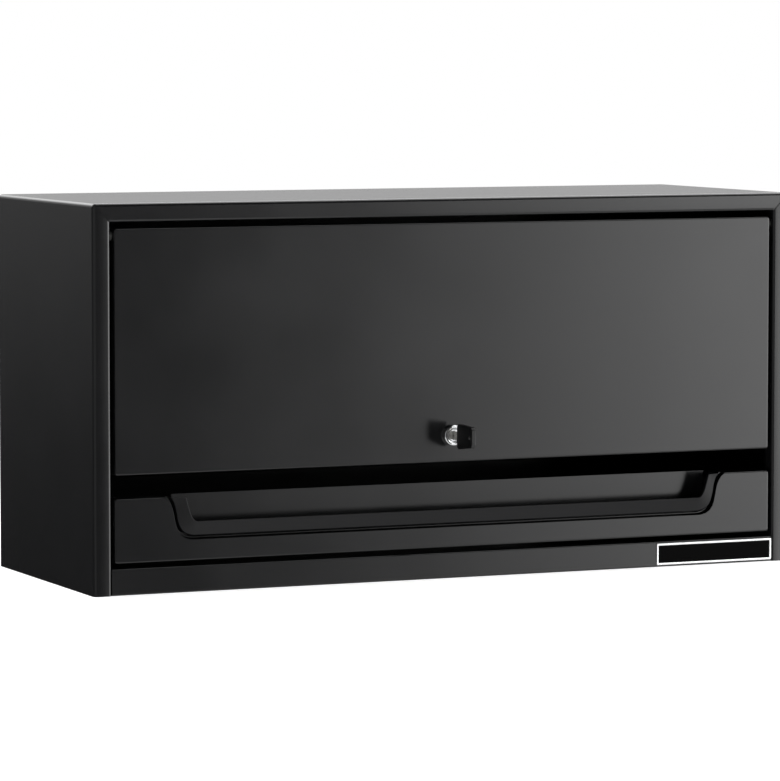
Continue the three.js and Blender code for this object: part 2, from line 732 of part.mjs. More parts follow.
function lockNut() {
  const radius = LOCK_NUT_ACROSS / 2 / Math.cos(Math.PI / NUT_SIDES);
  const nut = barY(radius, SHEET + FIT, SHEET + FIT + LOCK_NUT_THICKNESS, 0, 0, NUT_SIDES);
  return nut.subtract(barY(LOCK_BARREL_RADIUS + BORE_FIT, 0, LOCK_BARREL_LENGTH, 0, 0, LOCK_SIDES));
}

// The flat blade stands upright in the plug, with its teeth along the lower edge
function keyBlade() {
  const half = KEY_BLADE_HEIGHT / 2;
  const tip = KEY_BLADE_INSERTION;
  const outline = [
    [-LOCK_RING_HEIGHT - KEY_NECK - KEY_TANG, half],
    [-LOCK_RING_HEIGHT - KEY_NECK - KEY_TANG, -half],
  ];
  for (let tooth = KEY_TEETH; tooth > 0; tooth -= 1) {
    const y = tip - half - tooth * KEY_TOOTH_PITCH;
    outline.push([y, -half], [y + KEY_TOOTH_PITCH / 2, -half + KEY_TOOTH_DEPTH]);
  }
  outline.push([tip - half, -half], [tip, 0], [tip - half, half]);
  return plateYZ(outline, -KEY_BLADE_THICKNESS / 2, KEY_BLADE_THICKNESS / 2);
}

function keyBow() {
  const near = -LOCK_RING_HEIGHT - KEY_NECK;
  const far = near - KEY_BOW_LENGTH;
  const r = KEY_BOW_CORNER;
  const outline = new THREE.Shape();
  outline.absarc(far + r, -KEY_BOW_FAR_LOW + r, r, Math.PI, 1.5 * Math.PI, false);
  outline.absarc(near - r, -KEY_BOW_NEAR_LOW + r, r, 1.5 * Math.PI, 2 * Math.PI, false);
  outline.absarc(near - r, KEY_BOW_NEAR_HIGH - r, r, 0, Math.PI / 2, false);
  outline.absarc(far + r, KEY_BOW_FAR_HIGH - r, r, Math.PI / 2, Math.PI, false);
  outline.closePath();
  const half = KEY_BOW_THICKNESS / 2;
  const slotHalf = KEY_BLADE_THICKNESS / 2 + FIT;
  const slotHeight = KEY_BLADE_HEIGHT / 2 + FIT;
  return plateYZ(outline, -half, half)
    .subtract(
      block([-slotHalf, near - KEY_TANG - FIT, -slotHeight], [slotHalf, near + CUT, slotHeight]),
    )
    .subtract(
      barX(KEY_RING_HOLE_RADIUS, -half - CUT, half + CUT, far + KEY_RING_HOLE_SETBACK, 0),
    );
}

// Distances of the strut's ends along the strut, with the door closed
const strutRun = STRUT_CASE_BACK - STRUT_DOOR_BACK;
const strutPinZ = shelfZ + STRUT_CASE_RISE;
const strutRise = doorZ + hingeZ - STRUT_DOOR_DROP - strutPinZ;
const strutLength = Math.hypot(strutRun, strutRise);
const strutAngle = Math.atan2(strutRise, -strutRun);
const tubeEnd = strutLength - STRUT_ROD_SHOWING;
const rodStart = STRUT_NECK_LENGTH + STRUT_TUBE_END + STRUT_BORE_SPARE;
const eyeOuter = strutX + STRUT_EYE_WIDTH / 2;
const eyeInner = strutX - STRUT_EYE_WIDTH / 2;

// An eye round a pin that lies along X, centred on the strut's own line
function strutEye(y) {
  const half = STRUT_EYE_WIDTH / 2;
  return barX(STRUT_EYE_RADIUS, -half, half, y, 0);
}

function strutHole(y) {
  const half = STRUT_EYE_WIDTH / 2 + CUT;
  return barX(STRUT_PIN_RADIUS + BORE_FIT, -half, half, y, 0);
}

function strutTube() {
  const start = STRUT_NECK_LENGTH;
  const outer = STRUT_TUBE_RADIUS - STRUT_CHAMFER;
  const neck = STRUT_EYE_WIDTH / 2;
  return turned([
    [0, STRUT_EYE_RADIUS / 2],
    [neck, STRUT_EYE_RADIUS / 2],
    [neck, start],
    [outer, start],
    [STRUT_TUBE_RADIUS, start + STRUT_CHAMFER],
    [STRUT_TUBE_RADIUS, tubeEnd - STRUT_CHAMFER],
    [outer, tubeEnd],
    [STRUT_BORE_RADIUS, tubeEnd],
    [STRUT_BORE_RADIUS, start + STRUT_TUBE_END],
    [0, start + STRUT_TUBE_END],
  ])
    .add(strutEye(0))
    .subtract(strutHole(0));
}

function strutRod() {
  return turned([
    [0, rodStart],
    [STRUT_ROD_RADIUS, rodStart],
    [STRUT_ROD_RADIUS, strutLength - STRUT_EYE_RADIUS / 2],
    [0, strutLength - STRUT_EYE_RADIUS / 2],
  ])
    .add(strutEye(strutLength))
    .subtract(strutHole(strutLength));
}

// The bracket on the side wall, with its tongue beside the tube's eye, centred on the pin
function caseBracket(side) {
  const wall = wallX - FIT;
  const tongue = eyeOuter + FIT;
  const low = -CASE_BRACKET_DROP;
  const footHalf = CASE_BRACKET_FOOT_WIDTH / 2;
  const half = CASE_BRACKET_WIDTH / 2;
  const foot = block(
    [side * (wall - BRACKET_SHEET), -footHalf, low],
    [side * wall, footHalf, CASE_BRACKET_FOOT_RISE],
  );
  return foot
    .add(block([side * tongue, -half, low], [side * wall, half, low + BRACKET_SHEET]))
    .add(block([side * tongue, -half, low], [side * (tongue + BRACKET_SHEET), half, 0]))
    .add(barX(half, side * tongue, side * (tongue + BRACKET_SHEET), 0, 0))
    .subtract(
      barX(STRUT_PIN_RADIUS + BORE_FIT, side * (tongue - CUT), side * (tongue + CUT), 0, 0),
    );
}

function strutPin(side) {
  const head = eyeInner - FIT;
  const tail = eyeOuter + FIT + BRACKET_SHEET + STRUT_PIN_TAIL;
  return barX(STRUT_PIN_HEAD_RADIUS, side * (head - STRUT_PIN_HEAD_LENGTH), side * head, 0, 0).add(
    barX(STRUT_PIN_RADIUS, side * head, side * tail, 0, 0),
  );
}

// The bracket on the door's side lip carries the stud that the rod's eye pushes on
const leafX = doorHalf - SHEET - BRACKET_SHEET;
const studY = HINGE_SETBACK + STRUT_DOOR_BACK;
const studZ = hingeZ - STRUT_DOOR_DROP;

function doorBracket(side) {
  const half = DOOR_BRACKET_HEIGHT / 2;
  const foot = block(
    [side * (leafX + BRACKET_SHEET - DOOR_BRACKET_FOOT), DOOR_DEPTH + FIT, studZ - half],
    [side * (leafX + BRACKET_SHEET), DOOR_DEPTH + FIT + BRACKET_SHEET, studZ + half],
  );
  const web = block(
    [side * leafX, DOOR_DEPTH + FIT, studZ - DOOR_BRACKET_EYE],
    [side * (leafX + BRACKET_SHEET), studY, studZ + DOOR_BRACKET_EYE],
  );
  return foot
    .add(web)
    .add(barX(DOOR_BRACKET_EYE, side * leafX, side * (leafX + BRACKET_SHEET), studY, studZ))
    .subtract(
      barX(STRUT_PIN_RADIUS + BORE_FIT, side * (leafX - CUT), side * (leafX + CUT), studY, studZ),
    );
}

function doorStud(side) {
  const face = strutX + STRUT_ROD_RADIUS + FIT;
  const collar = leafX - FIT;
  return barX(STRUT_PIN_RADIUS, side * face, side * (leafX + BRACKET_SHEET), studY, studZ).add(
    barX(STRUT_PIN_HEAD_RADIUS, side * (collar - STRUT_PIN_HEAD_LENGTH), side * collar, studY, studZ),
  );
}

function buildStruts(chest) {
  const pinY = frontY + HINGE_SETBACK + STRUT_CASE_BACK;
  const pivots = groupAt(chest, 0, pinY, strutPinZ);
  for (const [side, word] of [[-1, "left"], [1, "right"]]) {
    place(pivots, "strut_case_bracket_" + word, caseBracket(side), materials.zinc);
    place(pivots, "strut_pin_" + word, strutPin(side), materials.zinc);
    const strut = groupAt(pivots, side * strutX, 0, 0);
    strut.rotation.x = strutAngle;
    place(strut, "strut_tube_" + word, strutTube(), materials.strut);
    place(strut, "strut_rod_" + word, strutRod(), materials.chrome);
  }
}

function buildDoor(chest) {
  const door = groupAt(chest, 0, frontY, doorZ);
  place(door, "door_skin", doorSkin(), materials.door);
  for (const [side, word] of [[-1, "left"], [1, "right"]]) {
    const stiffenerX = side * (doorHalf - STIFFENER_SIDE);
    place(door, "door_stiffener_" + word, doorStiffener(), materials.case, stiffenerX);
    place(door, "strut_door_bracket_" + word, doorBracket(side), materials.zinc);
    place(door, "strut_stud_" + word, doorStud(side), materials.zinc);
  }
  const lock = groupAt(door, 0, 0, LOCK_HEIGHT);
  place(lock, "lock_barrel", lockBarrel(), materials.chrome);
  place(lock, "lock_nut", lockNut(), materials.zinc);
  place(lock, "lock_plug", lockPlug(), materials.chrome);
  place(lock, "lock_cam", lockCam(), materials.zinc);
  place(lock, "cam_screw", camScrew(), materials.zinc);
  place(lock, "key_blade", keyBlade(), materials.brass);
  place(lock, "key_bow", keyBow(), materials.plastic);
}

// Points round the cut-out's edge below topZ, moved inward from it by inset and up by rise
function notchEdge(inset, rise, topZ) {
  const top = [-drawerHalf + NOTCH_TOP_INSET + inset, DRAWER_FRONT_HEIGHT + rise];
  const floor = [-drawerHalf + NOTCH_FLOOR_INSET + inset, NOTCH_FLOOR + rise];
  const curve = curveBetween(top, floor, END_CURVE_SHARES);
  return wholeEdge(curve, parameterAt(curve, topZ));
}

// How far along a falling curve it passes a height
function parameterAt(curve, height) {
  let [above, below] = [0, 1];
  for (let i = 0; i < HALVINGS; i += 1) {
    const middle = (above + below) / 2;
    if (curve.getPoint(middle).y > height) above = middle;
    else below = middle;
  }
  return above;
}

// A curve that falls from top to floor, with its handles at shares of the span and of the rise
function curveBetween([topX, topZ], [floorX, floorZ], shares) {
  const span = floorX - topX;
  const rise = topZ - floorZ;
  const [first, second] = shares.map(
    ([along, up]) => new THREE.Vector2(topX + along * span, floorZ + up * rise),
  );
  return new THREE.CubicBezierCurve(
    new THREE.Vector2(topX, topZ),
    first,
    second,
    new THREE.Vector2(floorX, floorZ),
  );
}

// Points along a left end curve from one parameter on, and then along its mirror image
function wholeEdge(curve, from = 0) {
  const left = [];
  for (let i = 0; i <= CURVE_STEPS; i += 1) {
    const point = curve.getPoint(from + ((1 - from) * i) / CURVE_STEPS);
    left.push([point.x, point.y]);
  }
  const right = left.map(([x, z]) => [-x, z]).reverse();
  return [...left, ...right];
}

function drawerFront() {
  const top = DRAWER_FRONT_HEIGHT + CUT;
  const edge = notchEdge(0, 0, DRAWER_FRONT_HEIGHT);
  const [firstX] = edge[0];
  const notch = [[firstX, top], ...edge, [-firstX, top]];
  let front = pressedPan(
    drawerHalf,
    DRAWER_FRONT_HEIGHT,
    DRAWER_FRONT_DEPTH,
    DRAWER_SIDE_LIP,
    DRAWER_EDGE_LIP,
  ).subtract(plateXZ(notch, -CUT, DRAWER_FRONT_DEPTH + CUT));
  for (const [x, z] of screwPlaces()) {
    front = front.subtract(screwHole(x, z));
  }
  return front;
}

function screwPlaces() {
  const x = drawerHalf - FRONT_SCREW_INSET;
  return [[-x, FRONT_SCREW_LOW], [-x, FRONT_SCREW_HIGH], [x, FRONT_SCREW_LOW], [x, FRONT_SCREW_HIGH]];
}

function screwHole(x, z) {
  const radius = FRONT_SCREW_RADIUS + BORE_FIT;
  return barY(radius, DRAWER_FRONT_DEPTH - CUT, trayY + CUT, x, z);
}

// The finger pocket: a wall that follows the cut-out, and a back wall
function handlePocket() {
  const backTop = DRAWER_FRONT_HEIGHT + POCKET_RISE;
  const side = POCKET_SIDE_GAP;
  const floor = POCKET_FLOOR_GAP;
  const outer = notchEdge(side, floor, DRAWER_FRONT_HEIGHT);
  const inner = notchEdge(side + POCKET_WALL, floor + POCKET_WALL, DRAWER_FRONT_HEIGHT);
  const backHalf = drawerHalf - POCKET_BACK_INSET;
  const band = [...outer, ...inner.reverse()];
  const low = outer.filter(([x]) => Math.abs(x) < backHalf);
  const back = [[-backHalf, backTop], ...low, [backHalf, backTop]];
  return plateXZ(band, POCKET_SETBACK, DRAWER_FRONT_DEPTH).add(
    plateXZ(back, DRAWER_FRONT_DEPTH - POCKET_WALL, DRAWER_FRONT_DEPTH),
  );
}

// The pull strip: a flared lip with a beaded free edge, on a leg that runs back into the pocket
function pullStrip() {
  const topZ = DRAWER_FRONT_HEIGHT - STRIP_END_DROP;
  const foot = notchEdge(STRIP_SIDE_GAP, STRIP_FLOOR_GAP, topZ);
  const freeFloorX = -drawerHalf + NOTCH_FLOOR_INSET + STRIP_END_INSET;
  const freeEdge = wholeEdge(
    curveBetween(
      [freeFloorX - STRIP_CORNER, topZ],
      [freeFloorX, NOTCH_FLOOR + STRIP_FLOOR_GAP + STRIP_WIDTH],
      FREE_EDGE_SHARES,
    ),
  );
  const legEnd = DRAWER_FRONT_DEPTH - POCKET_WALL - FIT;
  const front = -STRIP_PROUD;
  const positions = [];
  const stations = foot.map(([footX, footZ], i) => {
    const [edgeX, edgeZ] = freeEdge[i];
    const reach = Math.hypot(edgeX - footX, edgeZ - footZ);
    const alongX = (edgeX - footX) / reach;
    const alongZ = (edgeZ - footZ) / reach;
    const section = [
      [0, STRIP_SETBACK],
      [reach / 2, STRIP_SETBACK + front * STRIP_HOLLOW_SHARE],
      [reach - 2 * STRIP_BEAD, front + STRIP_BEAD],
      [reach - STRIP_BEAD, front],
      [reach, front + STRIP_BEAD],
      [reach - STRIP_BEAD / 2, front + STRIP_BEAD + STRIP_THICKNESS],
      [reach / 2, STRIP_SETBACK + front * STRIP_HOLLOW_SHARE + STRIP_THICKNESS],
      [STRIP_THICKNESS, STRIP_SETBACK + STRIP_THICKNESS],
      [STRIP_THICKNESS, legEnd],
      [0, legEnd],
    ];
    return section.map(([along, y]) => {
      positions.push(footX + along * alongX, y, footZ + along * alongZ);
      return positions.length / 3 - 1;
    });
  });
  return solid(tubeGeometry(positions, stations));
}

// A closed tube through equal rings of corners, with a flat end at each side
function tubeGeometry(positions, rings) {
  const count = rings[0].length;
  const faces = [];
  for (let i = 0; i + 1 < rings.length; i += 1) {
    for (let k = 0; k < count; k += 1) {
      const next = (k + 1) % count;
      const [a, b] = [rings[i][k], rings[i][next]];
      const [c, d] = [rings[i + 1][next], rings[i + 1][k]];
      faces.push(a, c, b, a, d, c);
    }
  }
  const flat = rings[0].map((corner) => {
    const [x, y, z] = positions.slice(3 * corner, 3 * (corner + 1));
    return new THREE.Vector2(Math.hypot(x - positions[0], z - positions[2]), y);
  });
  const last = rings[rings.length - 1];
  for (const [a, b, c] of THREE.ShapeUtils.triangulateShape(flat, [])) {
    faces.push(rings[0][a], rings[0][b], rings[0][c], last[a], last[c], last[b]);
  }
  const geometry = new THREE.BufferGeometry();
  geometry.setAttribute("position", new THREE.Float32BufferAttribute(positions, 3));
  geometry.setIndex(faces);
  return geometry;
}

function drawerTray() {
  const low = TRAY_LIFT;
  const high = TRAY_LIFT + TRAY_HEIGHT;
  const end = trayY + trayLength;
  const hem = 2 * TRAY_SHEET;
  let tray = block([-trayHalf, trayY, low], [trayHalf, end, high])
    .subtract(
      block(
        [-trayHalf + TRAY_SHEET, trayY + TRAY_SHEET, low + TRAY_SHEET],
        [trayHalf - TRAY_SHEET, end - TRAY_SHEET, high - TRAY_HEM],
      ),
    )
    .subtract(
      block(
        [-trayHalf + hem, trayY + hem, high - 2 * TRAY_HEM],
        [trayHalf - hem, end - hem, high + CUT],
      ),
    );
  for (const [x, z] of screwPlaces()) tray = tray.subtract(screwHole(x, z));
  return tray;
}

function drawerLiner() {
  const half = trayHalf - TRAY_SHEET - LINER_MARGIN;
  const floor = TRAY_LIFT + TRAY_SHEET + FIT;
  const start = trayY + TRAY_SHEET + LINER_MARGIN;
  const end = trayY + trayLength - TRAY_SHEET - LINER_MARGIN;
  return block([-half, start, floor], [half, end, floor + LINER_THICKNESS]);
}

function frontScrew() {
  const head = TRAY_SHEET + FIT;
  return turned([
    [0, -FRONT_SCREW_LENGTH],
    [FRONT_SCREW_RADIUS, -FRONT_SCREW_LENGTH],
    [FRONT_SCREW_RADIUS, head],
    [FRONT_SCREW_HEAD_RADIUS, head],
    [FRONT_SCREW_HEAD_RADIUS, head + FRONT_SCREW_HEAD_LENGTH / 2],
    [FRONT_SCREW_HEAD_RADIUS - FRONT_SCREW_HEAD_LENGTH / 2, head + FRONT_SCREW_HEAD_LENGTH],
    [0, head + FRONT_SCREW_HEAD_LENGTH],
  ]);
}

// Each runner has an outer member on the case, a middle one and an inner one on the tray
const runnerFrontY = frontY + DRAWER_FRONT_DEPTH + RUNNER_SETBACK;
const runnerLength = panelY - RUNNER_BACK_GAP - runnerFrontY;

function buildRunners(chest) {
  const runners = groupAt(chest, 0, runnerFrontY, drawerZ + RUNNER_CENTRE);
  const outerHalf = RUNNER_HEIGHT / 2;
  const middleHalf = outerHalf - RUNNER_SHEET - FIT;
  const innerHalf = middleHalf - RUNNER_RACE - FIT;
  const back = openingX;
  const front = openingX - RUNNER_THICKNESS;
  const middleWeb = back - RUNNER_SHEET - FIT;
  const innerEdge = middleWeb - RUNNER_SHEET - FIT;
  for (const [side, word] of [[-1, "left"], [1, "right"]]) {
    const bracket = channel(
      side * (back + FIT),
      side * (wallX - FIT),
      RUNNER_SHEET,
      RUNNER_SHEET,
      RUNNER_BRACKET_HEIGHT / 2,
      0,
      runnerLength,
    );
    const outer = channel(
      side * back,
      side * (front + RUNNER_STEP),
      RUNNER_SHEET,
      RUNNER_SHEET,
      outerHalf,
      0,
      runnerLength,
    );
    const middle = channel(
      side * middleWeb,
      side * (front + RUNNER_STEP),
      RUNNER_SHEET,
      RUNNER_RACE,
      middleHalf,
      0,
      runnerLength - RUNNER_STEP,
    );
    const inner = channel(
      side * front,
      side * innerEdge,
      RUNNER_SHEET,
      RUNNER_SHEET,
      innerHalf,
      0,
      runnerLength - RUNNER_STEP,
    );
    place(runners, "runner_bracket_" + word, bracket, materials.case);
    place(runners, "runner_outer_" + word, outer, materials.zinc);
    place(runners, "runner_middle_" + word, middle, materials.zinc);
    place(runners, "runner_inner_" + word, inner, materials.zinc);
  }
}

function buildDrawer(chest) {
  const drawer = groupAt(chest, 0, frontY, drawerZ);
  place(drawer, "drawer_front", drawerFront(), materials.door);
  place(drawer, "handle_pocket", handlePocket(), materials.case);
  place(drawer, "pull_strip", pullStrip(), materials.strip);
  place(drawer, "drawer_tray", drawerTray(), materials.case);
  place(drawer, "drawer_liner", drawerLiner(), materials.rubber);
  screwPlaces().forEach(([x, z], i) => {
    place(drawer, "front_screw_" + (i + 1), frontScrew(), materials.zinc, x, trayY, z);
  });
}

const chest = new THREE.Group();
buildCase(chest);
buildHinges(chest);
buildStruts(chest);
buildDoor(chest);
buildRunners(chest);
buildDrawer(chest);

export default chest;
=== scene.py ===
"""Looks of the top tool chest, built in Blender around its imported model.

X runs to the right as seen from the front, Y to the back and Z up. Sizes of shapes are in
millimetres, as in the CAD model, and loft() turns them into Blender's metres.
"""

import json
import math

import bmesh
import bpy
from mathutils import Matrix, Vector


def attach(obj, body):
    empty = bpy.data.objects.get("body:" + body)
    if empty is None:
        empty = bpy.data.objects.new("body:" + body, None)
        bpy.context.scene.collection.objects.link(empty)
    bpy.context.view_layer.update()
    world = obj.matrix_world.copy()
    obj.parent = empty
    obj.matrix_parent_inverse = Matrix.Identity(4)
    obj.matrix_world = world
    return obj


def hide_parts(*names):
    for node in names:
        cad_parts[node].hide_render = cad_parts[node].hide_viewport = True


# Camera, at the photograph's place and angle, in metres
CAMERA_PLACE = (-1.7743, -4.0066, 0.5200)
CAMERA_YAW = math.radians(23.818)
CAMERA_PITCH = math.radians(4.555)
CAMERA_LENS = 205.8
CAMERA_NEAR = 0.1
CAMERA_FAR = 60.0

# Floor, in metres
FLOOR_RADIUS = 4.0
FLOOR_SIDES = 96
FLOOR_COLOUR = (0.86, 0.86, 0.86)
FLOOR_DARKER = 0.97  # of that colour, in its darker clouds
FLOOR_CLOUDS = 2.0
FLOOR_ROUGHNESS = 0.9
FLOOR_GLOW = 0.80

# Mesh work. The two distances within which points are joined are in metres.
MM = 0.001
WELD = 1e-5
MERGE = 1e-7
FLAT_ANGLE = math.radians(0.6)
SHARP_ANGLE = math.radians(38)
CREASE_ANGLE = math.radians(50)
SHEET_EDGE = 0.25
EDGE_SEGMENTS = 2
EDGE_PROFILE = 0.5
FLAT_FACE_WEIGHT = 100
ROUND_SIDES = 48
LOCK_SIDES = 96
FILLET_STEPS = 4
FILLET_SHARE = 0.48  # of a side that one rounded corner may use up

# Sizes of the CAD model
FRONT_Y = -135.0
DRAWER_Z = 30.0
DRAWER_HALF = 344.2
DRAWER_FRONT_HEIGHT = 60.3

SIDES = ((-1, "left"), (1, "right"))

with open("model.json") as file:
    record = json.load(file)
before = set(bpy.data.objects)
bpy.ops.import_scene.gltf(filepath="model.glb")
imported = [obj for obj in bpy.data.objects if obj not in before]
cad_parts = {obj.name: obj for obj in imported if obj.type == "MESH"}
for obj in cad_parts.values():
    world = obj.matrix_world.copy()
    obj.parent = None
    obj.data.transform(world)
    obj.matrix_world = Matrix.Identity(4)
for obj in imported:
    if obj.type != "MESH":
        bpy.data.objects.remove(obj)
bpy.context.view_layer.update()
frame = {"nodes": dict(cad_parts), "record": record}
nodes = frame["nodes"]
slot_of = {part["node"]: part["material_slot"] for part in frame["record"]["subparts"]}
body_of_node = {
    node: body
    for body, members in frame["record"]["behaviour"]["bodies"].items()
    for node in members
}
remade = set()


# Materials

# Features of the textures, in a metre
PEEL_SCALE = 1400.0
SHADE_SCALE = 9.0
WAVE_SCALE = 3.5
STREAK_SCALES = (600.0, 600.0, 40.0)  # along X, Y and Z
TARNISH_SCALE = 60.0
MOULD_SCALE = 120.0

# Their depths, in metres
PEEL_DEPTH = 0.00001
WAVE_DEPTH = 0.0002
STREAK_DEPTH = 0.000004

# The range that most of a noise's values are in
NOISE_LOW = 0.3
NOISE_HIGH = 0.7


class Tree:
    """A node tree under construction. An input is a value, or a node's output to link to."""

    def __init__(self, tree):
        self.tree = tree
        tree.nodes.clear()

    def add(self, kind, inputs=(), **settings):
        node = self.tree.nodes.new("ShaderNode" + kind)
        for name, value in settings.items():
            setattr(node, name, value)
        for name, value in dict(inputs).items():
            if isinstance(value, bpy.types.NodeSocket):
                self.tree.links.new(value, node.inputs[name])
            else:
                node.inputs[name].default_value = value
        return node

    def maths(self, operation, *values):
        return self.add("Math", enumerate(values), operation=operation).outputs[0]

    def ramp(self, value, low, high, to_low=0.0, to_high=1.0, smooth=True):
        """value from low..high to to_low..to_high, held flat outside that range."""
        kind = "SMOOTHSTEP" if smooth else "LINEAR"
        settings = {
            "Value": value,
            "From Min": low,
            "From Max": high,
            "To Min": to_low,
            "To Max": to_high,
        }
        return self.add("MapRange", settings, interpolation_type=kind).outputs["Result"]

    def spread(self, noise, low=0.0, high=1.0):
        """A noise with its usual range spread over low..high."""
        return self.ramp(noise, NOISE_LOW, NOISE_HIGH, low, high, smooth=False)

    def noise(self, place, scale, detail=2.0, roughness=0.5):
        settings = {"Vector": place, "Scale": scale, "Detail": detail, "Roughness": roughness}
        return self.add("TexNoise", settings).outputs["Fac"]

    def bump(self, height, distance, normal=None):
        settings = {"Height": height, "Distance": distance, "Strength": 1.0}
        if normal is not None:
            settings["Normal"] = normal
        return self.add("Bump", settings).outputs["Normal"]

    def tinted(self, value, low, high):
        """A colour between low and high as value goes from 0 to 1."""
        mix = self.add("Mix", data_type="RGBA")
        self.tree.links.new(value, mix.inputs["Factor"])
        # the mix node has several inputs named A and B, and these two are its colours
        mix.inputs[6].default_value = (*low, 1)
        mix.inputs[7].default_value = (*high, 1)
        return mix.outputs[2]

    def surface(self, inputs):
        shader = self.add("BsdfPrincipled", inputs)
        self.add("OutputMaterial", {"Surface": shader.outputs[0]})


def new_material(name):
    material = bpy.data.materials.new(name)
    material.use_nodes = True
    return material, Tree(material.node_tree)


def powder_coat(name, colour, roughness, wave_depth=WAVE_DEPTH, gloss=0.5):
    """Satin paint on sheet steel: a fine orange peel, and the sheet's own slight waves."""
    material, tree = new_material(name)
    place = tree.add("TexCoord").outputs["Object"]
    peel = tree.noise(place, PEEL_SCALE)
    cloud = tree.noise(place, SHADE_SCALE, detail=3.0)
    wave = tree.noise(place, WAVE_SCALE, detail=1.0)
    normal = tree.bump(wave, wave_depth)
    normal = tree.bump(peel, PEEL_DEPTH, normal)
    lighter = [min(1.0, 1.25 * channel) for channel in colour]
    inputs = {
        "Base Color": tree.tinted(tree.spread(cloud), colour, lighter),
        "Roughness": tree.spread(cloud, roughness - 0.015, roughness + 0.02),
        "Normal": normal,
        "Specular IOR Level": gloss,
    }
    tree.surface(inputs)
    return material


def plated_metal(name, colour, roughness):
    """Plated or polished metal with fine streaks."""
    material, tree = new_material(name)
    place = tree.add("TexCoord").outputs["Object"]
    stretch = tree.add("VectorMath", {0: place, 1: STREAK_SCALES}, operation="MULTIPLY")
    lines = tree.noise(stretch.outputs[0], 1.0, detail=3.0, roughness=0.6)
    cloud = tree.noise(place, TARNISH_SCALE)
    normal = tree.bump(lines, STREAK_DEPTH)
    darker = [0.82 * channel for channel in colour]
    inputs = {
        "Base Color": tree.tinted(tree.spread(cloud), darker, colour),
        "Metallic": 1.0,
        "Roughness": tree.spread(lines, 0.8 * roughness, 1.2 * roughness),
        "Normal": normal,
    }
    tree.surface(inputs)
    return material


def moulded(name, colour, roughness, grain, grain_depth):
    """Moulded plastic or rubber with a fine spark-eroded grain."""
    material, tree = new_material(name)
    place = tree.add("TexCoord").outputs["Object"]
    grains = tree.add("TexVoronoi", {"Vector": place, "Scale": 1 / grain}).outputs["Distance"]
    cloud = tree.noise(place, MOULD_SCALE)
    lighter = [min(1.0, 1.3 * channel) for channel in colour]
    inputs = {
        "Base Color": tree.tinted(cloud, colour, lighter),
        "Roughness": tree.spread(cloud, roughness - 0.04, roughness + 0.04),
        "Normal": tree.bump(grains, grain_depth),
    }
    tree.surface(inputs)
    return material


BLACK = (0.0045, 0.0046, 0.0049)

# Maker, colour and roughness, then the depth of the sheet's waves and the gloss of a paint, or the
# width and depth of the grain of a plastic or rubber
FINISHES = {
    "case_paint": (powder_coat, BLACK, 0.17),
    "door_paint": (powder_coat, BLACK, 0.17),
    "pocket_paint": (powder_coat, BLACK, 0.2),
    "strip_paint": (powder_coat, (0.005, 0.005, 0.0055), 0.48, WAVE_DEPTH, 0.24),
    "strut_paint": (powder_coat, (0.006, 0.006, 0.0065), 0.2, 0.0),
    "bright_steel": (plated_metal, (0.62, 0.63, 0.65), 0.16),
    "zinc": (plated_metal, (0.50, 0.51, 0.53), 0.36),
    "lock_chrome": (plated_metal, (0.80, 0.81, 0.82), 0.14),
    "plate_metal": (plated_metal, (0.86, 0.86, 0.87), 0.3),
    "plate_field": (powder_coat, (0.001, 0.001, 0.001), 0.5, 0.0, 0.03),
    "key_metal": (plated_metal, (0.60, 0.58, 0.54), 0.3),
    "key_plastic": (moulded, (0.0015, 0.0015, 0.0017), 0.42, 0.0004, 0.00002),
    "spacer_plastic": (moulded, (0.05, 0.05, 0.048), 0.45, 0.0005, 0.00002),
    "rubber": (moulded, (0.012, 0.012, 0.012), 0.8, 0.0004, 0.00004),
    "liner_foam": (moulded, (0.016, 0.016, 0.017), 0.85, 0.0006, 0.0001),
}

materials = {name: maker(name, *values) for name, (maker, *values) in FINISHES.items()}


# Shapes

def rounded(rows, closed=True, steps=FILLET_STEPS):
    """A 2-D outline from rows of two coordinates and the radius to which that corner is rounded."""
    corners = [Vector(row[:2]) for row in rows]
    points = []
    last = len(corners) - 1
    for i, here in enumerate(corners):
        radius = rows[i][2]
        if radius <= 0 or (not closed and i in (0, last)):
            points.append(here)
            continue
        back = corners[i - 1] - here
        ahead = corners[0 if i == last else i + 1] - here
        half_angle = back.angle(ahead) / 2
        reach = min(
            radius / math.tan(half_angle),
            FILLET_SHARE * back.length,
            FILLET_SHARE * ahead.length,
        )
        size = reach * math.tan(half_angle)
        middle = (back.normalized() + ahead.normalized()).normalized()
        centre = here + middle * (size / math.sin(half_angle))
        start = here + back.normalized() * reach - centre
        end = here + ahead.normalized() * reach - centre
        turn = math.remainder(
            math.atan2(end.y, end.x) - math.atan2(start.y, start.x), 2 * math.pi
        )
        for k in range(steps + 1):
            points.append(centre + Matrix.Rotation(turn * k / steps, 2) @ start)
    return points


def with_radius(corners, radius):
    """Rows for rounded() with the same radius at all corners."""
    return [(u, v, radius) for u, v in corners]


def rectangle(half_u, half_v):
    return [(-half_u, -half_v), (half_u, -half_v), (half_u, half_v), (-half_u, half_v)]


def loft(rings, capped=True, looped=False):
    """Faces through rings of points in millimetres.

    capped closes the first and the last ring, and looped joins the last to the first.
    """
    bm = bmesh.new()
    rows = [[bm.verts.new(Vector(point) * MM) for point in ring] for ring in rings]
    pairs = list(zip(rows, rows[1:])) + ([(rows[-1], rows[0])] if looped else [])
    count = len(rows[0])
    for low, high in pairs:
        for i in range(count):
            j = (i + 1) % count
            bm.faces.new((low[i], low[j], high[j], high[i]))
    if capped:
        bm.faces.new(rows[0][::-1])
        bm.faces.new(rows[-1])
    bmesh.ops.remove_doubles(bm, verts=bm.verts, dist=MERGE)
    bmesh.ops.recalc_face_normals(bm, faces=bm.faces)
    return bm


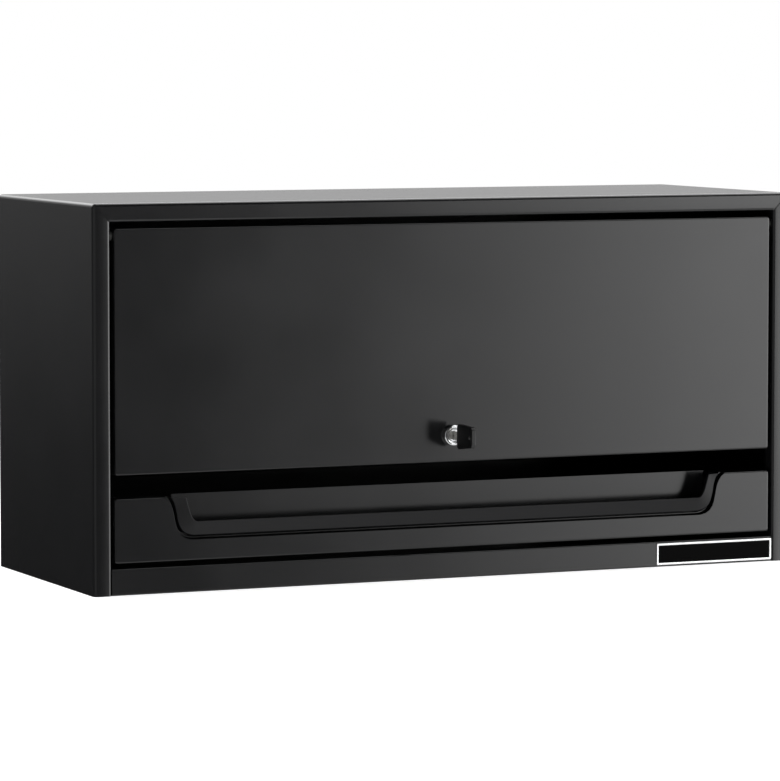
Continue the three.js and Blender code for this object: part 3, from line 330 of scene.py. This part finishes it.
def turned(profile, axis, centre, sides=ROUND_SIDES, hollow=False):
    """A turned shape about X or Y through centre, from points of radius and distance along it.

    The profile starts and ends on the axis, or goes round a ring's section if hollow is set.
    """
    cx, cy, cz = centre
    rings = []
    for radius, along in profile:
        ring = []
        for k in range(sides):
            angle = 2 * math.pi * k / sides
            u, v = radius * math.cos(angle), radius * math.sin(angle)
            if axis == "X":
                ring.append((cx + along, cy + u, cz + v))
            else:
                ring.append((cx + u, cy + along, cz + v))
        rings.append(ring)
    return loft(rings, capped=False, looped=hollow)


def extruded(outline, axis, low, high):
    """A 2-D outline run along X (with the outline in Y and Z) or along Y (with it in X and Z)."""
    if axis == "X":
        return loft([[(along, u, v) for u, v in outline] for along in (low, high)])
    return loft([[(u, along, v) for u, v in outline] for along in (low, high)])


def block(low, high):
    (x0, y0, z0), (x1, y1, z1) = low, high
    return extruded([(x0, z0), (x1, z0), (x1, z1), (x0, z1)], "Y", y0, y1)


def scratch_object(bm):
    mesh = bpy.data.meshes.new("scratch")
    bm.to_mesh(mesh)
    bm.free()
    thing = bpy.data.objects.new("scratch", mesh)
    bpy.context.scene.collection.objects.link(thing)
    return thing


def combined(bm, others, operation="DIFFERENCE"):
    """One shape less the others, or joined with them."""
    main = scratch_object(bm)
    tools = [scratch_object(other) for other in others]
    for tool in tools:
        cut = main.modifiers.new("cut", "BOOLEAN")
        cut.operation = operation
        cut.solver = "EXACT"
        cut.object = tool
    depsgraph = bpy.context.evaluated_depsgraph_get()
    result = bmesh.new()
    result.from_mesh(main.evaluated_get(depsgraph).to_mesh())
    for thing in [main, *tools]:
        bpy.data.objects.remove(thing)
    return result


def eased(bm, edge=SHEET_EDGE, segments=EDGE_SEGMENTS, angle=SHARP_ANGLE):
    """The shape with its flat faces whole and its sharp edges rounded over by edge millimetres."""
    bmesh.ops.remove_doubles(bm, verts=bm.verts, dist=WELD)
    bmesh.ops.dissolve_limit(bm, angle_limit=FLAT_ANGLE, verts=bm.verts, edges=bm.edges)
    sharp = [e for e in bm.edges if len(e.link_faces) == 2 and e.calc_face_angle() > angle]
    bmesh.ops.bevel(
        bm,
        geom=sharp,
        offset=edge * MM,
        segments=segments,
        profile=EDGE_PROFILE,
        affect="EDGES",
        clamp_overlap=True,
    )
    return bm


def stand_in(node, bm):
    """Turns a bmesh into the piece for one CAD node, with that node's body and finish."""
    remade.add(node)
    slot = slot_of[node]
    name = node + "_form"
    mesh = bpy.data.meshes.new(name)
    bm.to_mesh(mesh)
    bm.free()
    mesh.shade_smooth()
    mesh.set_sharp_from_angle(angle=CREASE_ANGLE)
    mesh.materials.append(materials[slot])
    piece = bpy.data.objects.new(name, mesh)
    bpy.context.scene.collection.objects.link(piece)
    flat_faces = piece.modifiers.new("flat_faces", "WEIGHTED_NORMAL")
    flat_faces.weight = FLAT_FACE_WEIGHT
    flat_faces.keep_sharp = True
    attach(piece, body_of_node[node])
    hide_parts(node)
    return piece


def node_shape(node):
    bm = bmesh.new()
    bm.from_mesh(nodes[node].data)
    return bm


def dressed(node, edge=SHEET_EDGE):
    """A copy of a CAD node's shape with its flat faces whole and its sharp edges eased."""
    return stand_in(node, eased(node_shape(node), edge))


# Pull strip, on the curves of the cut-out in the drawer front

NOTCH_TOP_INSET = 48.2
NOTCH_FLOOR_INSET = 76.1
NOTCH_FLOOR = 19.5
NOTCH_SHARES = [(0.66, 0.76), (0.12, 0.07)]
FREE_EDGE_SHARES = [(0.21, 0.7), (0.39, 0.04)]
STRIP_SIDE_GAP = 2.3
STRIP_FLOOR_GAP = 4.1
STRIP_END_INSET = 4.5
STRIP_CORNER = 11.0
STRIP_TOP = 59.4
STRIP_WIDTH = 13.6
STRIP_THICKNESS = 1.5
STRIP_LEG_END = 18.7
STRIP_STEPS = 30
STRIP_EDGE = 0.2
STRIP_SHARP_ANGLE = math.radians(60)
HALVINGS = 30

# The strip's section: share of its width from the foot, millimetres added to that, distance behind
# the front plane, and corner radius
STRIP_SECTION = [
    (0.0, 0.0, STRIP_LEG_END, 0.3),
    (0.0, 0.0, 0.4, 1.1),
    (0.5, 0.0, -1.81, 14.0),
    (1.0, -1.6, -3.8, 0.8),
    (1.0, -0.8, -4.6, 0.6),
    (1.0, 0.0, -3.8, 0.6),
    (1.0, -0.4, -2.3, 1.2),
    (0.5, 0.0, -0.31, 14.0),
    (0.0, STRIP_THICKNESS, 1.9, 0.6),
    (0.0, STRIP_THICKNESS, STRIP_LEG_END, 0.3),
]


def falling_curve(top, floor, shares):
    """Control points of a curve from top down to floor.

    Its two handles are at shares of its span and of its rise.
    """
    span, rise = floor[0] - top[0], top[1] - floor[1]
    handles = [(top[0] + along * span, floor[1] + up * rise) for along, up in shares]
    return [Vector(point) for point in (top, *handles, floor)]


def curve_point(controls, t):
    a, b, c, d = controls
    s = 1 - t
    return a * s**3 + b * 3 * s * s * t + c * 3 * s * t * t + d * t**3


def parameter_at(controls, height):
    """Where a falling curve passes a height, from 0 at its top to 1 at its floor."""
    above, below = 0.0, 1.0
    for _ in range(HALVINGS):
        middle = (above + below) / 2
        if curve_point(controls, middle).y > height:
            above = middle
        else:
            below = middle
    return above


def notch_curve(inset, rise):
    """The cut-out's left end, moved in by inset and up by rise, from the drawer front's corner."""
    top = (-DRAWER_HALF + NOTCH_TOP_INSET + inset, DRAWER_FRONT_HEIGHT + rise)
    floor = (-DRAWER_HALF + NOTCH_FLOOR_INSET + inset, NOTCH_FLOOR + rise)
    return falling_curve(top, floor, NOTCH_SHARES)


def strip_section(width):
    """The strip's section, as distances along from its foot and back from the front plane."""
    rows = [(share * width + more, back, radius) for share, more, back, radius in STRIP_SECTION]
    return rounded(rows)


def build_strip():
    foot = notch_curve(STRIP_SIDE_GAP, STRIP_FLOOR_GAP)
    start = parameter_at(foot, STRIP_TOP)
    free_x = -DRAWER_HALF + NOTCH_FLOOR_INSET + STRIP_END_INSET
    free_z = NOTCH_FLOOR + STRIP_FLOOR_GAP + STRIP_WIDTH
    free = falling_curve((free_x - STRIP_CORNER, STRIP_TOP), (free_x, free_z), FREE_EDGE_SHARES)
    pairs = []
    for i in range(STRIP_STEPS + 1):
        t = i / STRIP_STEPS
        pairs.append((curve_point(foot, start + (1 - start) * t), curve_point(free, t)))
    pairs += [(Vector((-a.x, a.y)), Vector((-b.x, b.y))) for a, b in reversed(pairs)]
    rings = []
    for low, high in pairs:
        width = (high - low).length
        direction = (high - low) / width
        ring = []
        for along, back in strip_section(width):
            place = low + direction * along
            ring.append((place.x, FRONT_Y + back, DRAWER_Z + place.y))
        rings.append(ring)
    stand_in("pull_strip", eased(loft(rings), STRIP_EDGE, angle=STRIP_SHARP_ANGLE))


# Screw heads

SCREW_EDGE = 0.08
RECESS_ARM = 2.0
RECESS_HALF_WIDTH = 0.45
RECESS_DEPTH = 1.3
RECESS_TAPER = 0.5  # of its width at the mouth that is left at its floor
RECESS_PAST = 0.6  # how far its cutter starts before the face


def cross_recess(x, y, z):
    """Cutters for the cross in a screw head whose face is at y and looks to the back."""
    cutters = []
    for arms in ((RECESS_ARM, RECESS_HALF_WIDTH), (RECESS_HALF_WIDTH, RECESS_ARM)):
        mouth = [(x + u, z + v) for u, v in rectangle(*arms)]
        floor = [(x + RECESS_TAPER * (u - x), z + RECESS_TAPER * (v - z)) for u, v in mouth]
        near = [(u, y + RECESS_PAST, v) for u, v in mouth]
        far = [(u, y - RECESS_DEPTH, v) for u, v in floor]
        cutters.append(loft([near, far]))
    return cutters


# Cam lock and its key

LOCK_X = 0.0
LOCK_Z = 138.0
LOCK_CENTRE = (LOCK_X, FRONT_Y, LOCK_Z)
LOCK_BORE = 6.4
BARREL_END = 20.0
PLUG_FACE = -3.8
PLUG_END = 23.3
CAM_SCREW_FACE = 28.4

# Profiles about the lock's axis: radius, distance behind the door's face, and corner radius
BARREL_PROFILE = [
    (LOCK_BORE, BARREL_END, 0.2),
    (LOCK_BORE, -3.0, 0.1),
    (7.2, -3.0, 0.25),
    (7.2, -4.4, 0.5),
    (7.8, -5.0, 0.6),
    (9.2, -5.0, 0.6),
    (9.8, -4.4, 0.6),
    (9.8, -0.3, 0.15),
    (8.5, -0.3, 0.15),
    (8.5, BARREL_END, 0.3),
]
PLUG_PROFILE = [
    (0.0, PLUG_FACE, 0),
    (5.6, PLUG_FACE, 0.2),
    (6.0, PLUG_FACE + 0.4, 0.2),
    (6.0, PLUG_END, 0.3),
    (0.0, PLUG_END, 0),
]
CAM_SCREW_PROFILE = [
    (0, 17.9, 0),
    (2.0, 17.9, 0.3),
    (2.0, 25.9, 0.1),
    (4.5, 25.9, 0.2),
    (4.5, 27.0, 0.6),
    (3.4, CAM_SCREW_FACE, 1.2),
    (0, CAM_SCREW_FACE, 0),
]
SCREW_BORE_PROFILE = [(0, 17.6), (2.4, 17.6), (2.4, 30), (0, 30)]

# Blocks, as their lowest and highest corners from the lock's centre on the door's face
PLUG_SHANK = ((-3.2, 22.0, -3.2), (3.2, 25.6, 3.2))
KEY_SLOT = ((-1.3, PLUG_FACE - 5, -4.3), (1.3, 16.3, 4.3))
PLUG_WARD = ((0.5, PLUG_FACE - 5, 0.8), (2.3, 16.0, 2.0))
CAM_HOLE = ((-3.5, 20, -3.5), (3.5, 30, 3.5))
KEY_GROOVE = ((0.6, -14.0, -0.9), (1.4, 20.0, 0.5))
BOW_SLOT = ((-1.3, -27.3, -4.3), (1.3, -10, 4.3))

CAM_Y = 23.6
CAM_THICKNESS = 2
CAM_RADIUS = 7
CAM_REACH = 20
CAM_CORNER = 1.5
CAM_ROUND_STEPS = 24

BLADE_END = -27
BLADE_TIP = 16
BLADE_HALF_HEIGHT = 4.0
BLADE_HALF_THICKNESS = 1.0
BLADE_CORNER = 0.25
BLADE_CORNER_STEPS = 2
TEETH = 4
TOOTH_PITCH = 3.2
TOOTH_DEPTH = 1.6

BOW_CORNERS = [(-49, -8.5), (-15, -12.6), (-15, 11.9), (-49, 10.8)]
BOW_CORNER = 4.0
BOW_CORNER_STEPS = 10
BOW_HALF_THICKNESS = 2.15
RING_HOLE_Y = -43
RING_HOLE_PROFILE = [(0, -6), (2.2, -6), (2.2, 6), (0, 6)]

PLUG_EDGE = 0.12
CAM_EDGE = 0.35
NUT_EDGE = 0.6
BLADE_EDGE = 0.12
BOW_EDGE = 0.7
BOW_EDGE_SEGMENTS = 4


def lock_block(corners, side=1):
    """A block given from the lock's centre, mirrored for side -1."""
    low, high = [(LOCK_X + side * x, FRONT_Y + y, LOCK_Z + z) for x, y, z in corners]
    return block(low, high)


def cam_outline():
    """The cam seen from the front: round on the left, with its hook reaching to the right."""
    angles = [
        math.radians(90 + 180 * k / CAM_ROUND_STEPS) for k in range(CAM_ROUND_STEPS + 1)
    ]
    points = [(CAM_RADIUS * math.cos(a), CAM_RADIUS * math.sin(a)) for a in angles]
    hook = [
        (0, -CAM_RADIUS, 0),
        (CAM_REACH, -CAM_RADIUS, CAM_CORNER),
        (CAM_REACH, CAM_RADIUS, CAM_CORNER),
        (0, CAM_RADIUS, 0),
    ]
    points += rounded(hook, closed=False)[1:-1]
    return [(LOCK_X + u, LOCK_Z + v) for u, v in points]


def build_lock():
    barrel = turned(rounded(BARREL_PROFILE), "Y", LOCK_CENTRE, LOCK_SIDES, hollow=True)
    stand_in("lock_barrel", barrel)

    plug = turned(rounded(PLUG_PROFILE, closed=False), "Y", LOCK_CENTRE, LOCK_SIDES)
    plug = combined(plug, [lock_block(PLUG_SHANK)], "UNION")
    screw_bore = turned(SCREW_BORE_PROFILE, "Y", LOCK_CENTRE)
    plug = combined(plug, [screw_bore, lock_block(KEY_SLOT), lock_block(PLUG_WARD)])
    stand_in("lock_plug", eased(plug, PLUG_EDGE))

    cam = extruded(cam_outline(), "Y", FRONT_Y + CAM_Y, FRONT_Y + CAM_Y + CAM_THICKNESS)
    stand_in("lock_cam", eased(combined(cam, [lock_block(CAM_HOLE)]), CAM_EDGE))

    screw = turned(rounded(CAM_SCREW_PROFILE, closed=False), "Y", LOCK_CENTRE)
    screw = combined(screw, cross_recess(LOCK_X, FRONT_Y + CAM_SCREW_FACE, LOCK_Z))
    stand_in("cam_screw", eased(screw, SCREW_EDGE))
    dressed("lock_nut", NUT_EDGE)


def blade_outline():
    """The blade seen from the right, with its teeth along the lower edge."""
    top, bottom = BLADE_HALF_HEIGHT, -BLADE_HALF_HEIGHT
    shoulder = BLADE_TIP - BLADE_HALF_HEIGHT
    corners = [(BLADE_END, top), (BLADE_END, bottom)]
    for tooth in range(TEETH, 0, -1):
        y = shoulder - tooth * TOOTH_PITCH
        corners += [(y, bottom), (y + TOOTH_PITCH / 2, bottom + TOOTH_DEPTH)]
    corners += [(shoulder, bottom), (BLADE_TIP, 0), (shoulder, top)]
    return rounded(with_radius(corners, BLADE_CORNER), steps=BLADE_CORNER_STEPS)


def key_plate(outline, half_thickness):
    """An outline in Y and Z from the lock's centre, made into a plate in the middle plane."""
    outline = [(FRONT_Y + u, LOCK_Z + v) for u, v in outline]
    return extruded(outline, "X", -half_thickness, half_thickness)


def build_key():
    blade = key_plate(blade_outline(), BLADE_HALF_THICKNESS)
    blade = combined(blade, [lock_block(KEY_GROOVE, side) for side, _ in SIDES])
    stand_in("key_blade", eased(blade, BLADE_EDGE))

    outline = rounded(with_radius(BOW_CORNERS, BOW_CORNER), steps=BOW_CORNER_STEPS)
    bow = key_plate(outline, BOW_HALF_THICKNESS)
    hole = turned(RING_HOLE_PROFILE, "X", (LOCK_X, FRONT_Y + RING_HOLE_Y, LOCK_Z))
    bow = combined(bow, [hole, lock_block(BOW_SLOT)])
    stand_in("key_bow", eased(bow, BOW_EDGE, segments=BOW_EDGE_SEGMENTS))


# Plate on the bottom rail: a bright raised rim round a bare dark field

PLATE_LOW = (220.0, 2.0)
PLATE_HIGH = (347.0, 23.0)
PLATE_RIM = 1.9
PLATE_FIELD_Y = -0.55
PLATE_FIELD_LEAST = 1e-4  # square metres

# Distance in from the plate's edge, distance behind the front plane, and corner radius
PLATE_STEPS = [
    (0.0, -0.3, 0.6),
    (0.0, -0.75, 0.6),
    (0.15, -0.9, 0.5),
    (PLATE_RIM - 0.15, -0.9, 0.3),
    (PLATE_RIM, -0.75, 0.25),
    (PLATE_RIM, PLATE_FIELD_Y, 0.25),
]


def plate_ring(inset, y, radius):
    (x0, z0), (x1, z1) = PLATE_LOW, PLATE_HIGH
    corners = [
        (x0 + inset, z0 + inset),
        (x1 - inset, z0 + inset),
        (x1 - inset, z1 - inset),
        (x0 + inset, z1 - inset),
    ]
    return [(u, FRONT_Y + y, v) for u, v in rounded(with_radius(corners, radius))]


def build_plate():
    plate = stand_in("rail_plate", loft([plate_ring(*step) for step in PLATE_STEPS]))
    plate.data.materials.append(materials["plate_field"])
    middle_x, middle_z = [(low + high) / 2 for low, high in zip(PLATE_LOW, PLATE_HIGH)]
    middle = Vector((middle_x, FRONT_Y + PLATE_FIELD_Y, middle_z)) * MM
    for face in plate.data.polygons:
        if (face.center - middle).length < MM and face.area > PLATE_FIELD_LEAST:
            face.material_index = 1


# Pins, spacers, studs and bumpers on both sides

# Turned about X: y and z of the axis, whether the piece is a ring, and rows of radius, distance
# from the chest's middle, and corner radius
SIDE_PIECES = {
    "hinge_pin_": (-125, 335, False, [
        (0, 340.5, 0),
        (4.5, 340.5, 0.5),
        (4.5, 342.0, 0.15),
        (3, 342.0, 0.1),
        (3, 351.8, 0.5),
        (0, 351.8, 0),
    ]),
    "hinge_spacer_": (-125, 335, True, [
        (3.4, 343.8, 0.35),
        (4.8, 343.8, 0.35),
        (4.8, 347.3, 0.35),
        (3.4, 347.3, 0.35),
    ]),
    "strut_pin_": (-15, 185, False, [
        (0, 316.2, 0),
        (4.5, 316.2, 0.7),
        (4.5, 317.7, 0.2),
        (3, 317.7, 0.1),
        (3, 328.3, 0.5),
        (0, 328.3, 0),
    ]),
    "strut_stud_": (-103, 293, False, [
        (0, 325.3, 0),
        (3, 325.3, 0.7),
        (3, 338.5, 0.1),
        (4.5, 338.5, 0.3),
        (4.5, 340.0, 0.3),
        (3, 340.0, 0.1),
        (3, 342.3, 0.4),
        (0, 342.3, 0),
    ]),
}

# The bumper is turned about Y: radius, distance behind its place, and corner radius
BUMPER_PLACE = (257.6, -113.2, 119.4)
BUMPER_PROFILE = [
    (0, -3.5, 0),
    (3.5, -3.5, 1.2),
    (4.5, -2.5, 1.2),
    (4.5, -0.3, 0.3),
    (1.8, -0.3, 0.1),
    (1.8, 4, 0.5),
    (0, 4, 0),
]


def build_side_pieces():
    x, y, z = BUMPER_PLACE
    bumper = rounded(BUMPER_PROFILE, closed=False)
    for side, word in SIDES:
        for name, (axis_y, axis_z, ring, rows) in SIDE_PIECES.items():
            profile = [(radius, side * along) for radius, along in rounded(rows, closed=ring)]
            piece = turned(profile, "X", (0, axis_y, axis_z), hollow=ring)
            stand_in(name + word, piece)
        stand_in("door_bumper_" + word, turned(bumper, "Y", (side * x, y, z)))


# Screws that hold the drawer front on the tray

FRONT_SCREW_Y = -114.7
FRONT_SCREW_PLACES = [(-328, 46), (-328, 73), (328, 46), (328, 73)]
FRONT_SCREW_FACE = 3.3
FRONT_SCREW_PROFILE = [
    (0, -5, 0),
    (2, -5, 0.3),
    (2, 1.3, 0.1),
    (4, 1.3, 0.15),
    (4, 2.3, 0.5),
    (3, FRONT_SCREW_FACE, 0.8),
    (0, FRONT_SCREW_FACE, 0),
]


def build_front_screws():
    profile = rounded(FRONT_SCREW_PROFILE, closed=False)
    for i, (x, z) in enumerate(FRONT_SCREW_PLACES):
        screw = turned(profile, "Y", (x, FRONT_SCREW_Y, z))
        screw = combined(screw, cross_recess(x, FRONT_SCREW_Y + FRONT_SCREW_FACE, z))
        stand_in(f"front_screw_{i + 1}", eased(screw, SCREW_EDGE))


# Gas struts

STRUT_PLACE = (321.0, -15.0, 185.0)
STRUT_RUN = -88.0
STRUT_RISE = 108.0
STRUT_LENGTH = math.hypot(STRUT_RUN, STRUT_RISE)
TUBE_END = STRUT_LENGTH - 27.3

# Radius, distance from the tube's eye along the strut, and corner radius. The groove near the
# tube's end is rolled into it.
TUBE_PROFILE = [
    (0, 3.6, 0),
    (3, 3.6, 0.2),
    (3, 14, 0.8),
    (7.5, 14, 2.0),
    (7.5, TUBE_END - 9, 0.6),
    (6.9, TUBE_END - 8, 0.6),
    (6.9, TUBE_END - 7, 0.6),
    (7.5, TUBE_END - 6, 0.6),
    (7.5, TUBE_END, 1.6),
    (4.4, TUBE_END, 0.4),
    (4.4, 26, 0.5),
    (0, 26, 0),
]
ROD_PROFILE = [
    (0, 35, 0),
    (4, 35, 0.5),
    (4, STRUT_LENGTH - 7, 1.0),
    (3, STRUT_LENGTH - 3.6, 0.2),
    (0, STRUT_LENGTH - 3.6, 0),
]

# An eye's section: radius, distance across it, and corner radius
EYE_SECTION = [(3.4, -3, 0.4), (7, -3, 0.8), (7, 3, 0.8), (3.4, 3, 0.4)]


def on_strut(bm, side):
    """Moves a shape made along Y from the origin to a strut's own line."""
    x, y, z = STRUT_PLACE
    turn = Matrix.Rotation(math.atan2(STRUT_RISE, STRUT_RUN), 4, "X")
    place = Matrix.Translation(Vector((side * x, y, z)) * MM) @ turn
    bmesh.ops.transform(bm, matrix=place, verts=bm.verts)
    return bm


def build_struts():
    kinds = {"strut_tube_": (TUBE_PROFILE, 0), "strut_rod_": (ROD_PROFILE, STRUT_LENGTH)}
    for side, word in SIDES:
        for name, (rows, eye_y) in kinds.items():
            body = turned(rounded(rows, closed=False), "Y", (0, 0, 0))
            eye = turned(rounded(EYE_SECTION), "X", (0, eye_y, 0), hollow=True)
            stand_in(name + word, on_strut(combined(body, [eye], "UNION"), side))


# Drawer runners

RUNNER_Y = -113.5
RUNNER_Z = 58.5
RUNNER_SHEET = 1.2
RUNNER_BEND_OUTER = 1.4
RUNNER_BEND_INNER = 0.6
RUNNER_RIM = 0.4
RUNNER_EDGE = 0.15
SLOT_HALF_LENGTH = 4
SLOT_HALF_HEIGHT = 2.2
SLOT_CORNER = 2.1
SLOT_STEPS = 6
SLOT_CUT_OUT = 3  # how far a slot's cutter reaches past the web's outer face
SLOT_CUT_IN = 0.8  # and past its inner face

# Distances from the chest's middle to the web and to the flanges' edges, thickness of the flanges,
# half the height, length, and the screw slots' distances from the front end
RUNNER_MEMBERS = {
    "runner_bracket_": (347.9, 363.5, 1.2, 14.0, 230.0, (30, 115, 200)),
    "runner_outer_": (347.6, 337.3, 1.2, 17.5, 230.0, (30, 115, 200)),
    "runner_middle_": (346.1, 337.3, 3.0, 16.0, 227.6, ()),
    "runner_inner_": (334.9, 344.6, 1.2, 12.7, 227.6, (22, 108, 206)),
}


def runner_member(side, web, edge, flange, half, length, slots):
    """A rolled channel for one side, with its bends rounded and screw slots in its web."""
    toward = 1 if edge > web else -1
    inner = web + toward * RUNNER_SHEET
    rows = [
        (web, -half, RUNNER_BEND_OUTER),
        (edge, -half, RUNNER_RIM),
        (edge, -half + flange, RUNNER_RIM),
        (inner, -half + flange, RUNNER_BEND_INNER),
        (inner, half - flange, RUNNER_BEND_INNER),
        (edge, half - flange, RUNNER_RIM),
        (edge, half, RUNNER_RIM),
        (web, half, RUNNER_BEND_OUTER),
    ]
    outline = [(side * x, RUNNER_Z + z) for x, z in rounded(rows)]
    member = extruded(outline, "Y", RUNNER_Y, RUNNER_Y + length)
    corners = rectangle(SLOT_HALF_LENGTH, SLOT_HALF_HEIGHT)
    slot = rounded(with_radius(corners, SLOT_CORNER), steps=SLOT_STEPS)
    reach = sorted(
        (side * (web - toward * SLOT_CUT_OUT), side * (inner + toward * SLOT_CUT_IN))
    )
    cutters = []
    for along in slots:
        place = [(RUNNER_Y + along + u, RUNNER_Z + v) for u, v in slot]
        cutters.append(extruded(place, "X", *reach))
    return combined(member, cutters) if cutters else member


def build_runners():
    for side, word in SIDES:
        for name, sizes in RUNNER_MEMBERS.items():
            stand_in(name + word, eased(runner_member(side, *sizes), RUNNER_EDGE))


# Ribbed liner in the drawer tray

LINER_HALF = 332.1
LINER_Y = (-112.2, 110.8)
LINER_Z = (36.8, 38.8)
RIB_PITCH = 4.5
RIB_CREST = 0.8
RIB_SHAPE = [(0.0, 0.0), (0.30, 0.0), (0.38, 0.45), (0.5, 0.8), (0.8, 0.8), (0.92, 0.45)]
RIB_HEIGHT = 0.9


def liner_ring(x, top):
    front, back = LINER_Y
    low = LINER_Z[0]
    return [(x, front, low), (x, back, low), (x, back, top), (x, front, top)]


def build_liner():
    """The liner's ribs run from front to back. RIB_SHAPE has shares of the pitch and rises."""
    count = round(2 * LINER_HALF / RIB_PITCH)
    pitch = 2 * LINER_HALF / count
    high = LINER_Z[1]
    rings = []
    for rib in range(count):
        for share, rise in RIB_SHAPE:
            x = -LINER_HALF + (rib + share) * pitch
            rings.append(liner_ring(x, high - RIB_HEIGHT * (1 - rise / RIB_CREST)))
    rings.append(liner_ring(LINER_HALF, high))
    stand_in("drawer_liner", loft(rings))


# Case wrap, with the open seams where the stiles meet the top rail

SEAM_WIDTH = 1.3
SEAM_DEPTH = 0.9
SEAM_PAST = 1  # how far its cutter starts before the front plane
CASE_CORNER = (365.0, 365.0)
OPENING_CORNER = (347.6, 347.6)


def build_shell():
    cutters = []
    for side, _ in SIDES:
        along = Vector((side, 1)).normalized()
        across = Vector((-along.y, along.x)) * (SEAM_WIDTH / 2)
        outer = Vector((side * CASE_CORNER[0], CASE_CORNER[1])) + along
        inner = Vector((side * OPENING_CORNER[0], OPENING_CORNER[1])) - along
        outline = [outer + across, outer - across, inner - across, inner + across]
        cutters.append(extruded(outline, "Y", FRONT_Y - SEAM_PAST, FRONT_Y + SEAM_DEPTH))
    stand_in("outer_shell", eased(combined(node_shape("outer_shell"), cutters)))


# Studio

# Soft sources round the object. Azimuths run from the front to the right, so 180 is behind. Each
# has the azimuths and elevations between which it fades in and out, in degrees, and a strength.
SOURCES = [
    # key, at the right of the front
    {"azimuth": (21.8, 32, 125, 146), "elevation": (-18, -2, 10, 24), "strength": 4.6},
    # wall behind, down to the horizon
    {"azimuth": (100, 120, 240, 270), "elevation": (-7, 6, 30, 50), "strength": 0.45},
    # brighter part of that wall, for the roof
    {"azimuth": (100, 120, 180, 200), "elevation": (-1.5, 1.5, 20, 40), "strength": 0.11},
    # weak fill, at the left of the front
    {"azimuth": (270, 300, 345, 360), "elevation": (-40, -10, 20, 40), "strength": 0.3},
    # light over and behind the chest
    {"azimuth": (90, 130, 230, 260), "elevation": (10, 25, 60, 80), "strength": 2.6},
    # high lamp at the right, for the thin bright lines on edges there that face up
    {"azimuth": (44, 58, 110, 130), "elevation": (40, 50, 68, 76), "strength": 3.0},
    # pale floor, as the faces mirror it when seen from above
    {"azimuth": (-1, 0, 360, 361), "elevation": (-95, -91, -24, -12), "strength": 0.9},
]
AMBIENT = 0.02
WHITE = (1, 1, 1, 1)


def build_floor():
    material, tree = new_material("floor_pale")
    place = tree.add("TexCoord").outputs["Object"]
    cloud = tree.noise(place, FLOOR_CLOUDS)
    darker = [FLOOR_DARKER * channel for channel in FLOOR_COLOUR]
    inputs = {
        "Base Color": tree.tinted(cloud, darker, FLOOR_COLOUR),
        "Roughness": FLOOR_ROUGHNESS,
        "Emission Color": WHITE,
        "Emission Strength": FLOOR_GLOW,
    }
    tree.surface(inputs)
    bm = bmesh.new()
    bmesh.ops.create_circle(bm, cap_ends=True, segments=FLOOR_SIDES, radius=FLOOR_RADIUS)
    mesh = bpy.data.meshes.new("floor")
    bm.to_mesh(mesh)
    bm.free()
    mesh.materials.append(material)
    floor = bpy.data.objects.new("floor", mesh)
    bpy.context.scene.collection.objects.link(floor)
    floor.visible_glossy = False
    floor.visible_shadow = False


def build_world():
    """The sources light and mirror in the object, while the camera sees plain white behind it."""
    world = bpy.data.worlds.new("studio")
    bpy.context.scene.world = world
    world.use_nodes = True
    tree = Tree(world.node_tree)
    direction = tree.add("TexCoord").outputs["Generated"]
    parts = tree.add("SeparateXYZ", {"Vector": direction}).outputs
    back_to_front = tree.maths("MULTIPLY", parts["Y"], -1.0)
    turn = tree.maths("ARCTAN2", parts["X"], back_to_front)
    azimuth = tree.maths("DEGREES", turn)
    # from -180..180 to 0..360, so that a source behind the object is one range
    azimuth = tree.maths("FLOORED_MODULO", azimuth, 360.0)
    elevation = tree.maths("DEGREES", tree.maths("ARCSINE", parts["Z"]))
    total = AMBIENT
    for source in SOURCES:
        light = source["strength"]
        for angle, (start, full, fade, end) in (
            (azimuth, source["azimuth"]),
            (elevation, source["elevation"]),
        ):
            rise = tree.ramp(angle, start, full)
            fall = tree.ramp(angle, fade, end, 1.0, 0.0)
            light = tree.maths("MULTIPLY", light, tree.maths("MULTIPLY", rise, fall))
        total = tree.maths("ADD", light, total)
    studio = tree.add("Background", {"Color": WHITE, "Strength": total})
    paper = tree.add("Background", {"Color": WHITE, "Strength": 1.0})
    seen = tree.add("LightPath").outputs["Is Camera Ray"]
    mix = tree.add("MixShader", {0: seen, 1: studio.outputs[0], 2: paper.outputs[0]})
    tree.add("OutputWorld", {"Surface": mix.outputs[0]})


def build_camera():
    data = bpy.data.cameras.new("camera")
    data.lens = CAMERA_LENS
    data.clip_start = CAMERA_NEAR
    data.clip_end = CAMERA_FAR
    camera = bpy.data.objects.new("camera", data)
    level = math.cos(CAMERA_PITCH)
    forward = Vector(
        (math.sin(CAMERA_YAW) * level, math.cos(CAMERA_YAW) * level, -math.sin(CAMERA_PITCH))
    )
    camera.location = CAMERA_PLACE
    camera.rotation_euler = forward.to_track_quat("-Z", "Y").to_euler()
    bpy.context.scene.collection.objects.link(camera)
    bpy.context.scene.camera = camera


build_strip()
build_lock()
build_key()
build_plate()
build_side_pieces()
build_front_screws()
build_struts()
build_runners()
build_liner()
build_shell()
for node in sorted(set(nodes) - remade):
    dressed(node)
build_floor()
build_world()
build_camera()
bpy.context.scene.view_settings.view_transform = "Standard"
